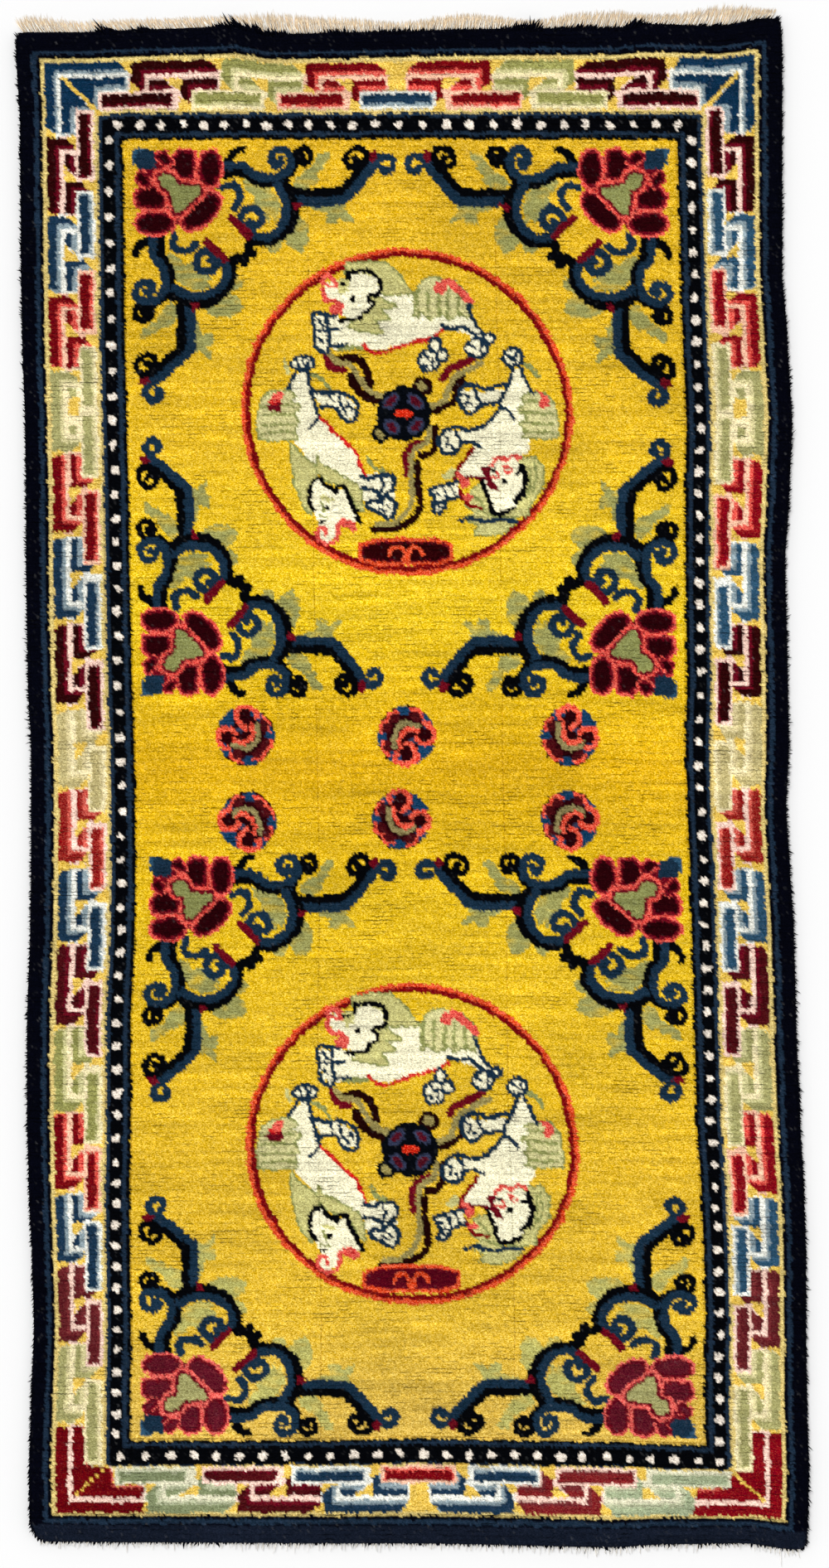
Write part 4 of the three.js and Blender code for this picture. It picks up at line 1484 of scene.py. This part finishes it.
def new_piece(name, points, faces, colours, material, places=None, flat_from=None):
    """A mesh with a dye at each point, riding on the rug. Its faces from flat_from on are flat."""
    used, corners = np.unique(np.concatenate([np.ravel(face) for face in faces]), return_inverse=True)
    sizes = [len(face) for face in faces]
    bounds = np.cumsum(sizes)[:-1]
    mesh = bpy.data.meshes.new(name)
    mesh.from_pydata(points[used], [], [part.tolist() for part in np.split(corners, bounds)])
    dye = mesh.color_attributes.new("dye", "FLOAT_COLOR", "POINT")
    dye.data.foreach_set("color", np.column_stack((colours[used], np.ones(len(used)))).ravel())
    if places is not None:
        place = mesh.attributes.new("chart_place", "FLOAT_VECTOR", "POINT")
        place.data.foreach_set("vector", np.column_stack((places[used], np.zeros(len(used)))).ravel())
    smooth = np.arange(len(faces)) < (len(faces) if flat_from is None else flat_from)
    mesh.polygons.foreach_set("use_smooth", smooth)
    mesh.materials.append(material)
    piece = bpy.data.objects.new(name, mesh)
    bpy.context.scene.collection.objects.link(piece)
    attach(piece, "root")
    return piece


def slab(name, chosen, cells, fine, plain, material, facing_up=True):
    """A piece that covers the chosen knots, with a fine side and a plain one.

    Each side is a grid of points with their positions and colours.
    """
    rows, columns = fine["points"].shape[:2]
    start = rows * columns
    tops = fine_faces(chosen, cells, columns).tolist()
    walls = wall_faces(chosen, cells, columns, start).tolist()
    faces = tops + walls + plain_faces(chosen, start)
    down, across = np.meshgrid(np.arange(rows) / cells, np.arange(columns) / cells, indexing="ij")
    plain_down, plain_across = np.indices(plain["points"].shape[:2])
    places = np.concatenate((
        np.stack((across, down), axis=-1).reshape(-1, 2),
        np.stack((plain_across, plain_down), axis=-1).reshape(-1, 2),
    ))
    points = np.concatenate((fine["points"].reshape(-1, 3), plain["points"].reshape(-1, 3)))
    colours = np.concatenate((fine["colours"].reshape(-1, 3), plain["colours"].reshape(-1, 3)))
    if not facing_up:
        faces = [face[::-1] for face in faces]
    return new_piece(name, points, faces, colours, material, places, flat_from=len(tops))


# The pieces of the pile, as frames between two distances from the edges: from the sides, from
# the top and from the bottom, in whole knots.
PILE_FRAMES = {
    "pile_edge": ((0, 0, 0), (6, 7, 7)),
    "pile_key_border": ((6, 7, 7), (21, 22, 20)),
    "pile_pearl_guard": ((21, 22, 20), (28, 29, 27)),
}
FIELD_INSET = (28, 29, 27)
FIELD_STRIPS = {
    "pile_field_left": (28, 77),
    "pile_field_middle": (77, 127),
    "pile_field_right": (127, 176),
}

# The tone of the pile's roots as a share of its own, painted darker as painted shade deep in the
# pile and down the walls of its pieces. Then how unevenly the beads of the back stand out.
ROOT_SHADE = 0.6
BEAD_ROUGHNESS = 0.0001


def knots_within(side, top, bottom):
    """The knots that lie at least that far in from the edges."""
    chosen = np.zeros((KNOTS_DOWN, KNOTS_ACROSS), bool)
    chosen[top:KNOTS_DOWN - bottom, side:KNOTS_ACROSS - side] = True
    return chosen


def make_pile(colours, material):
    """The pieces of the pile: the frames of the borders and the strips of the field."""
    surface = {"points": pile_surface(), "colours": colours}
    # The roots take the pile's dyes darkened by ROOT_SHADE: painted shade deep in the pile, which also
    # darkens the walls of the pieces towards their foot.
    roots = {"points": level_points(PILE_ROOT), "colours": colours[::CELLS, ::CELLS] * ROOT_SHADE}
    pieces = []
    for name, (start, end) in PILE_FRAMES.items():
        chosen = knots_within(*start) & ~knots_within(*end)
        pieces.append(slab(name, chosen, CELLS, surface, roots, material))
    for name, (left, right) in FIELD_STRIPS.items():
        chosen = knots_within(*FIELD_INSET)
        chosen[:, :left] = False
        chosen[:, right:] = False
        pieces.append(slab(name, chosen, CELLS, surface, roots, material))
    return pieces


def make_back(colours, material):
    """The woven back, where every knot shows as a small bead of its dye."""
    beads = colours[::CELLS, ::CELLS]
    low = {"points": level_points(BACK_LOW), "colours": beads}
    low["points"][..., 2] += np.abs(random.normal(0, BEAD_ROUGHNESS, beads.shape[:2]))
    high = {"points": level_points(BACK_TOP), "colours": beads}
    everywhere = np.ones((KNOTS_DOWN, KNOTS_ACROSS), bool)
    return slab("woven_back", everywhere, 1, low, high, material, facing_up=False)


# A strand's height as a share of its width, how much it bends aside as a share of its reach, how
# much thinner it grows, and how far every strand stays above the floor.
STRAND_FLATNESS = 0.6
STRAND_SWAY = 0.12
STRAND_TAPER = 0.4
FLOOR_GAP = 0.0002


def strands(name, roots, ways, reaches, widths, tones, material, sections=3, droop=0.0):
    """Many thin three-sided strands in one mesh, each bent and running out to a point.

    Each strand has its root, its way, its reach, its width and its tones at the root and tip.
    """
    roots, ways = np.asarray(roots, float), np.asarray(ways, float)
    count = len(roots)
    ways = ways / np.linalg.norm(ways, axis=1, keepdims=True)
    side = np.cross(ways, (0, 0, 1.0))
    side /= np.linalg.norm(side, axis=1, keepdims=True)
    up = np.cross(side, ways)
    sway = random.normal(0, STRAND_SWAY, count)
    rings, dyes = [], []
    for section in range(sections):
        share = section / sections
        centre = roots + ways * (reaches * share)[:, None]
        centre += side * (sway * reaches * share**2)[:, None]
        centre[:, 2] -= droop * share**2
        size = widths * (1 - STRAND_TAPER * share) / 2
        for turn in (90, 210, 330):
            across, above = math.cos(math.radians(turn)), math.sin(math.radians(turn))
            rise = up * (size * above * STRAND_FLATNESS)[:, None]
            rings.append(centre + side * (size * across)[:, None] + rise)
            dyes.append(tones[0] * (1 - share) + tones[1] * share)
    tip = roots + ways * reaches[:, None] + side * (sway * reaches)[:, None]
    tip[:, 2] -= droop
    rings.append(tip)
    dyes.append(tones[1])
    points, dyes = np.stack(rings, axis=1), np.stack(dyes, axis=1)
    points[..., 2] = np.maximum(points[..., 2], FLOOR_GAP)
    pattern = [[0, 2, 1]]
    for section in range(sections - 1):
        low, high = 3 * section, 3 * section + 3
        for corner in range(3):
            after = (corner + 1) % 3
            pattern.append([low + corner, low + after, high + after, high + corner])
    last, point = 3 * (sections - 1), 3 * sections
    pattern += [[last + corner, last + (corner + 1) % 3, point] for corner in range(3)]
    stride = 3 * sections + 1
    starts = [strand * stride for strand in range(count)]
    faces = [[start + corner for corner in face] for start in starts for face in pattern]
    return new_piece(name, points.reshape(-1, 3), faces, dyes.reshape(-1, 3), material)


def jittered_tones(colour, spread, count):
    """A colour that many times, each a little lighter or darker."""
    return linear(colour) * np.exp(random.normal(0, spread, (count, 1)))


def joined(layers):
    """Layers of values that belong together, with each kind of value joined into one array."""
    return [np.concatenate(kind) for kind in zip(*layers)]


# Tufts of wool that spill over the rug's rim: the knots between them, their layers' heights, their
# reach and width, their droop, and their tone at the tip as a share of the root's, painted lighter as
# a painted highlight on the loose wool. At the lower end they lie low.
TUFT_PITCH = 0.5
TUFT_LAYERS = (0.0035, 0.0062, 0.0086)
SIDE_TUFT_REACH = 0.0042
UPPER_TUFT_REACH = 0.003
LOWER_TUFT_REACH = 0.0045
LOWER_TUFT_HEIGHT = 0.3
TUFT_WIDTH = 0.0015
LOWER_TUFT_WIDTH = 0.0028
COMBED_WIDTH = 0.0028
TUFT_DROOP = 0.0012
TUFT_TIP_HIGHLIGHT = 1.3

# How far behind the rim a tuft is rooted, and how much further for each metre of height. Tufts
# point away from the place this many knots inside the rim.
TUFT_ROOT = 0.0015
TUFT_ROOT_SLOPE = 0.35
TUFT_AIM = 6

# How much tufts differ: in place, in knots, in slope, direction and the lean that they share with
# the warp ends, and as shares in reach, width and tone.
TUFT_STRAY = 0.25
TUFT_SLOPE, TUFT_SLOPE_SPREAD = -0.25, 0.25
TUFT_SPREAD = 0.3
TUFT_LEAN = 0.2
TUFT_REACH_SPREAD = 0.25
TUFT_WIDTH_SPREAD = 0.2
TUFT_TONE_SPREAD = 0.35

# Where the wool of the upper end is combed out over the warp ends: knots across, and how far as
# a share of the reach.
COMBED_REACH = 0.010
COMBED = (
    (18, 0),
    (20.5, 0.3),
    (23, 1.2),
    (26, 0.4),
    (30, 0.1),
    (33.5, 0.7),
    (37, 0),
    (50, 0),
    (58, 1.1),
    (64, 1),
    (70, 0.6),
    (73, 0),
    (80, 0),
    (85, 0.6),
    (90, 0.1),
    (100, 0.4),
    (112, 0.1),
    (128, 0.1),
    (137, 1),
    (141, 0.2),
    (148, 0.5),
    (157, 0.4),
    (161, 0.2),
    (165, 1.3),
    (168, 0.3),
    (178, 0.1),
    (186, 0.8),
    (189, 0.2),
    (198, 0.3),
)


def rim_places():
    """Places all around the rim of the pile, in knots: the long sides, then the two ends."""
    downs = np.arange(0.5, KNOTS_DOWN, TUFT_PITCH)
    acrosses = np.arange(0.5, KNOTS_ACROSS, TUFT_PITCH)
    sides = [(across, down) for across in (0, KNOTS_ACROSS) for down in downs]
    ends = [(across, down) for down in (0, KNOTS_DOWN) for across in acrosses]
    return np.array(sides + ends, float)


def make_edge_tufts(material):
    """The wool that spills over the rim, combed out further over the warp ends of the upper end."""
    rim = rim_places()
    count = len(rim)
    upper, lower = rim[:, 1] == 0, rim[:, 1] == KNOTS_DOWN
    middle = np.array((KNOTS_ACROSS / 2, KNOTS_DOWN / 2))
    inner = middle + (rim - middle) * (1 - TUFT_AIM / np.abs(rim - middle).max(axis=1, keepdims=True))
    x_in, y_in = on_rug(inner[:, 0], inner[:, 1])
    combed = np.interp(rim[:, 0], *zip(*COMBED))
    upper_width = TUFT_WIDTH + (COMBED_WIDTH - TUFT_WIDTH) * np.minimum(combed, 1)
    width = np.select((upper, lower), (upper_width, LOWER_TUFT_WIDTH), TUFT_WIDTH)
    plain_reach = np.select((upper, lower), (UPPER_TUFT_REACH, LOWER_TUFT_REACH), SIDE_TUFT_REACH)
    layers = []
    for height in TUFT_LAYERS:
        moved = rim + random.normal(0, TUFT_STRAY, rim.shape)
        x, y = on_rug(moved[:, 0], moved[:, 1])
        out = np.stack((x - x_in, y - y_in), axis=-1)
        out /= np.linalg.norm(out, axis=1, keepdims=True)
        back = TUFT_ROOT + TUFT_ROOT_SLOPE * (height - TUFT_LAYERS[0])
        heights = height * np.where(lower, LOWER_TUFT_HEIGHT, 1)
        root = np.column_stack((x - out[:, 0] * back, y - out[:, 1] * back, heights))
        slope = random.normal(TUFT_SLOPE, TUFT_SLOPE_SPREAD, count)
        spread = random.normal(0, TUFT_SPREAD, (count, 2))
        place = (x - SHIFT[0]) / MM
        spread[upper, 0] += TUFT_LEAN * sample(UPPER_END, LEAN, place[upper])
        reach = plain_reach + COMBED_REACH * combed * upper * random.uniform(0.5, 1, count)
        layers.append((
            root,
            np.column_stack((out + spread, slope)),
            reach * np.exp(random.normal(0, TUFT_REACH_SPREAD, count)),
            width * np.exp(random.normal(0, TUFT_WIDTH_SPREAD, count)),
        ))
    roots, ways, reaches, widths = joined(layers)
    tones = jittered_tones(DYES["navy"], TUFT_TONE_SPREAD, len(roots))
    # The tips are painted lighter than the roots: a painted highlight on the loose wool.
    return strands(
        "edge_tufts", roots, ways, reaches, widths, (tones, tones * TUFT_TIP_HIGHLIGHT), material,
        sections=2, droop=TUFT_DROOP,
    )


# The warp ends: the first and last knots that they stand at, how many times as far as the table's
# lean they lean, and how much they differ in length. Then their layers, each with its height, its
# share of the reach, how many ends lie in it, their width and the tones of their roots and tips.
# The tones are partly the cotton's own cream and partly painted shade: the lower layers are painted
# darker than the top one, shaded by the strands above, and the roots of the lower layers darker
# than their tips, shaded by the pile's rim.
UPPER_FRINGE = {
    "name": "upper_fringe", "node": "fringe_top", "knots": (2.5, 201), "lean": 2.4, "ragged": 0.06,
    "layers": (
        (0.0006, 1.16, 1200, 0.0011, (226, 207, 178), (240, 219, 188)),
        (0.0015, 1.05, 800, 0.0010, (236, 219, 192), (244, 225, 196)),
        (0.0024, 0.82, 430, 0.0010, (255, 253, 247), (255, 249, 236)),
    ),
}
LOWER_FRINGE = {
    "name": "lower_fringe", "node": "fringe_bottom", "knots": (3.5, 201), "lean": 2.2, "ragged": 0.28,
    "layers": (
        (0.0026, 1.05, 170, 0.0010, (230, 222, 208), (250, 244, 232)),
        (0.0038, 1.2, 170, 0.0010, (255, 252, 245), (255, 252, 246)),
    ),
}

# How far inside the pile's end the warp ends are rooted and how far they sink. Then how much they
# differ: in place, in knots, in lean, and as shares in width and in the tones of roots and tips.
FRINGE_ROOT = 0.003
FRINGE_SINK = 0.0002
FRINGE_STRAY = 0.12
FRINGE_LEAN_SPREAD = 0.0015
FRINGE_WIDTH_SPREAD = 0.15
ROOT_TONE_SPREAD, TIP_TONE_SPREAD = 0.14, 0.17


def make_fringe(fringe, table, upwards, material):
    """The warp ends at one end of the rug, in layers, fanned out as they lie."""
    end = 0.0 if upwards > 0 else float(KNOTS_DOWN)
    layers = []
    for height, share, count, width, root_tone, tip_tone in fringe["layers"]:
        across = np.linspace(*fringe["knots"], count) + random.normal(0, FRINGE_STRAY, count)
        x, y = on_rug(across, np.full(count, end))
        place = (x - SHIFT[0]) / MM
        reach = sample(table, REACH, place) * MM * share
        reach *= np.exp(random.normal(0, fringe["ragged"], count))
        lean = sample(table, LEAN, place) * MM * fringe["lean"]
        lean += random.normal(0, FRINGE_LEAN_SPREAD, count)
        reach += FRINGE_ROOT
        layers.append((
            np.column_stack((x, y - upwards * FRINGE_ROOT, np.full(count, height))),
            np.column_stack((lean, upwards * reach, np.full(count, -FRINGE_SINK))),
            np.hypot(reach, lean),
            width * np.exp(random.normal(0, FRINGE_WIDTH_SPREAD, count)),
            # Roots and tips take their layer's tones, which carry painted shade beneath the upper strands
            # and the pile's rim.
            jittered_tones(root_tone, ROOT_TONE_SPREAD, count),
            jittered_tones(tip_tone, TIP_TONE_SPREAD, count),
        ))
    roots, ways, reaches, widths, *tones = joined(layers)
    piece = strands(fringe["name"], roots, ways, reaches, widths, tones, material)
    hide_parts(fringe["node"])
    return piece


class Shader:
    """A material's nodes: each is added with its settings and with values or links as inputs."""

    def __init__(self, name):
        self.material = bpy.data.materials.new(name)
        self.material.use_nodes = True
        self.tree = self.material.node_tree
        self.surface = self.tree.nodes["Principled BSDF"]

    def connect(self, node, inputs):
        """Gives a node's inputs their values, or links them to other nodes."""
        for name, value in inputs.items():
            if isinstance(value, bpy.types.NodeSocket):
                self.tree.links.new(value, node.inputs[name])
            else:
                node.inputs[name].default_value = value

    def node(self, kind, inputs, **settings):
        """Adds a node and gives its outputs."""
        node = self.tree.nodes.new("ShaderNode" + kind)
        for name, value in settings.items():
            setattr(node, name, value)
        self.connect(node, inputs)
        return node.outputs

    def math(self, operation, first, second=0.0):
        return self.node("Math", {0: first, 1: second}, operation=operation)[0]

    def ranged(self, value, start, end, low, high):
        """The value moved from the range start to end into the range low to high."""
        inputs = {"Value": value, "From Min": start, "From Max": end, "To Min": low, "To Max": high}
        return self.node("MapRange", inputs)["Result"]

    def noise(self, vector, scale, stretch=(1, 1, 1), detail=2.0):
        scaled = self.node("VectorMath", {0: vector, 1: stretch}, operation="MULTIPLY")["Vector"]
        inputs = {"Vector": scaled, "Scale": scale, "Detail": detail, "Roughness": 0.6}
        return self.node("TexNoise", inputs)["Fac"]


def dyed_fibres(name, scale, stretch, tones, bump, gap_shade=0.0):
    """Dyed fibre: the piece's own dye, flecked by the fibres: partly their own uneven tone, partly painted
    highlight and painted shade.

    Where the rows of knots part, dark lines are painted in dashes along the rows: painted shade in the
    partings, which also sink in the bump.
    """
    shader = Shader(name)
    dye = shader.node("Attribute", {}, attribute_name="dye")["Color"]
    position = shader.node("TexCoord", {})["Object"]
    fibres = shader.noise(position, scale, stretch, detail=3.0)
    # The flecks' tones are partly the fibres' own and partly painted highlight and painted shade.
    value = shader.ranged(fibres, 0.3, 0.7, *tones)
    height = fibres
    if gap_shade:
        place = shader.node("Attribute", {}, attribute_name="chart_place")["Vector"]
        parts = shader.node("SeparateXYZ", {0: place})
        wobble = shader.ranged(shader.noise(place, 0.4), 0, 1, -0.25, 0.25)
        down = shader.math("ADD", parts["Y"], wobble)
        row = shader.math("ROUND", down)
        line = shader.ranged(shader.math("PINGPONG", down, 0.5), 0.03, 0.2, 1, 0)
        row_place = shader.node("CombineXYZ", {"X": parts["X"], "Y": shader.math("MULTIPLY", row, 9.7)})
        broken = shader.ranged(shader.noise(row_place["Vector"], 0.22), 0.45, 0.6, 0, 1)
        patchy = shader.ranged(shader.noise(place, 0.06), 0.4, 0.65, 0.25, 1)
        # Painted shade: where the rows part, the colour is darkened in dashes.
        dark = shader.math("MULTIPLY", shader.math("MULTIPLY", line, broken), patchy)
        value = shader.math("MULTIPLY", value, shader.ranged(dark, 0, 1, 1, 1 - gap_shade))
        height = shader.math("SUBTRACT", height, dark)
    # Bright flecks are painted paler and less saturated, as painted highlights.
    inputs = {
        "Color": dye,
        "Value": value,
        "Saturation": shader.ranged(fibres, 0.3, 0.7, 1.18, 0.91),
        "Hue": shader.ranged(fibres, 0.3, 0.7, 0.488, 0.511),
    }
    flecked = shader.node("HueSaturation", inputs)
    normal = shader.node("Bump", {"Height": height, "Strength": bump, "Distance": 0.0007})["Normal"]
    shader.connect(shader.surface, {
        "Base Color": flecked["Color"],
        "Normal": normal,
        "Roughness": 0.95,
        "Specular IOR Level": 0.03,
    })
    return shader.material


def plain_material(name, colour, roughness):
    """One even colour."""
    material = bpy.data.materials.new(name)
    material.use_nodes = True
    shader = material.node_tree.nodes["Principled BSDF"]
    shader.inputs["Base Color"].default_value = (*linear(colour), 1)
    shader.inputs["Roughness"].default_value = roughness
    return material


# The picture's width and height, the size of one of its pixels on the rug, and the pixel at
# which the tables of the rug's edges have their zero.
PICTURE = (1000, 1892)
PIXEL = 0.83 * MM
TABLE_ZERO = (497, 940)

# The camera's lens and sensor, in millimetres.
LENS = 110
SENSOR = 36


def make_camera():
    """Straight above the rug, with the rug where it is in the picture."""
    data = bpy.data.cameras.new("camera")
    data.lens = LENS
    data.sensor_width = SENSOR
    camera = bpy.data.objects.new("camera", data)
    bpy.context.scene.collection.objects.link(camera)
    x = SHIFT[0] + (PICTURE[0] / 2 - TABLE_ZERO[0]) * PIXEL
    y = SHIFT[1] - (PICTURE[1] / 2 - TABLE_ZERO[1]) * PIXEL
    distance = PICTURE[1] * PIXEL * LENS / SENSOR
    camera.location = (x, y, PILE_TOP + distance)
    data.clip_end = 2 * distance
    bpy.context.scene.camera = camera


# Half the floor's side, how far it lies below zero, the lamp's strength, softness and turn in
# degrees, and the strength of the even light from all around.
FLOOR_HALF = 6
FLOOR_DROP = 0.0002
LAMP_STRENGTH = 1.5
LAMP_SOFTNESS = 25
LAMP_TURN = (-22, -17, 0)
AMBIENT = 0.62


def make_studio():
    """A plain pale floor under soft light, a little stronger from the upper left."""
    half = FLOOR_HALF
    mesh = bpy.data.meshes.new("floor")
    corners = [(-half, -half, 0), (half, -half, 0), (half, half, 0), (-half, half, 0)]
    mesh.from_pydata(corners, [], [(0, 1, 2, 3)])
    mesh.materials.append(plain_material("pale_floor", (250, 250, 250), 0.9))
    floor = bpy.data.objects.new("floor", mesh)
    floor.location.z = -FLOOR_DROP
    bpy.context.scene.collection.objects.link(floor)

    light = bpy.data.lights.new("key", "SUN")
    light.energy = LAMP_STRENGTH
    light.angle = math.radians(LAMP_SOFTNESS)
    key = bpy.data.objects.new("key", light)
    key.rotation_euler = [math.radians(turn) for turn in LAMP_TURN]
    bpy.context.scene.collection.objects.link(key)

    world = bpy.data.worlds.new("studio")
    world.use_nodes = True
    world.node_tree.nodes["Background"].inputs["Color"].default_value = (1, 1, 1, 1)
    world.node_tree.nodes["Background"].inputs["Strength"].default_value = AMBIENT
    bpy.context.scene.world = world
    bpy.context.scene.view_settings.view_transform = "Standard"


# The kinds of fibre: the scale and stretch of the flecks, the range of their tones, partly painted
# highlight and shade, how strongly they stand out, and how dark the painted shade in the gaps
# between rows is.
wool = dyed_fibres("dyed_wool", 800, (0.8, 1.4, 1), (0.5, 1.72), 0.8, gap_shade=0.75)
loose_wool = dyed_fibres("loose_wool", 900, (1, 1, 1), (0.6, 1.5), 0.4)
back_wool = dyed_fibres("woven_back_wool", 520, (2.2, 1, 1), (0.7, 1.25), 0.8)
cotton = dyed_fibres("cotton_warp_ends", 1400, (1, 0.3, 1), (0.9, 1.35), 0.3)

chart = make_chart()
colours = pile_colours(chart)
pile = make_pile(colours, wool)
back = make_back(colours, back_wool)
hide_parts("rug_body")
tufts = make_edge_tufts(loose_wool)
fringes = [
    make_fringe(UPPER_FRINGE, UPPER_END, 1, cotton),
    make_fringe(LOWER_FRINGE, LOWER_END, -1, cotton),
]
make_camera()
make_studio()

bpy.context.view_layer.update()
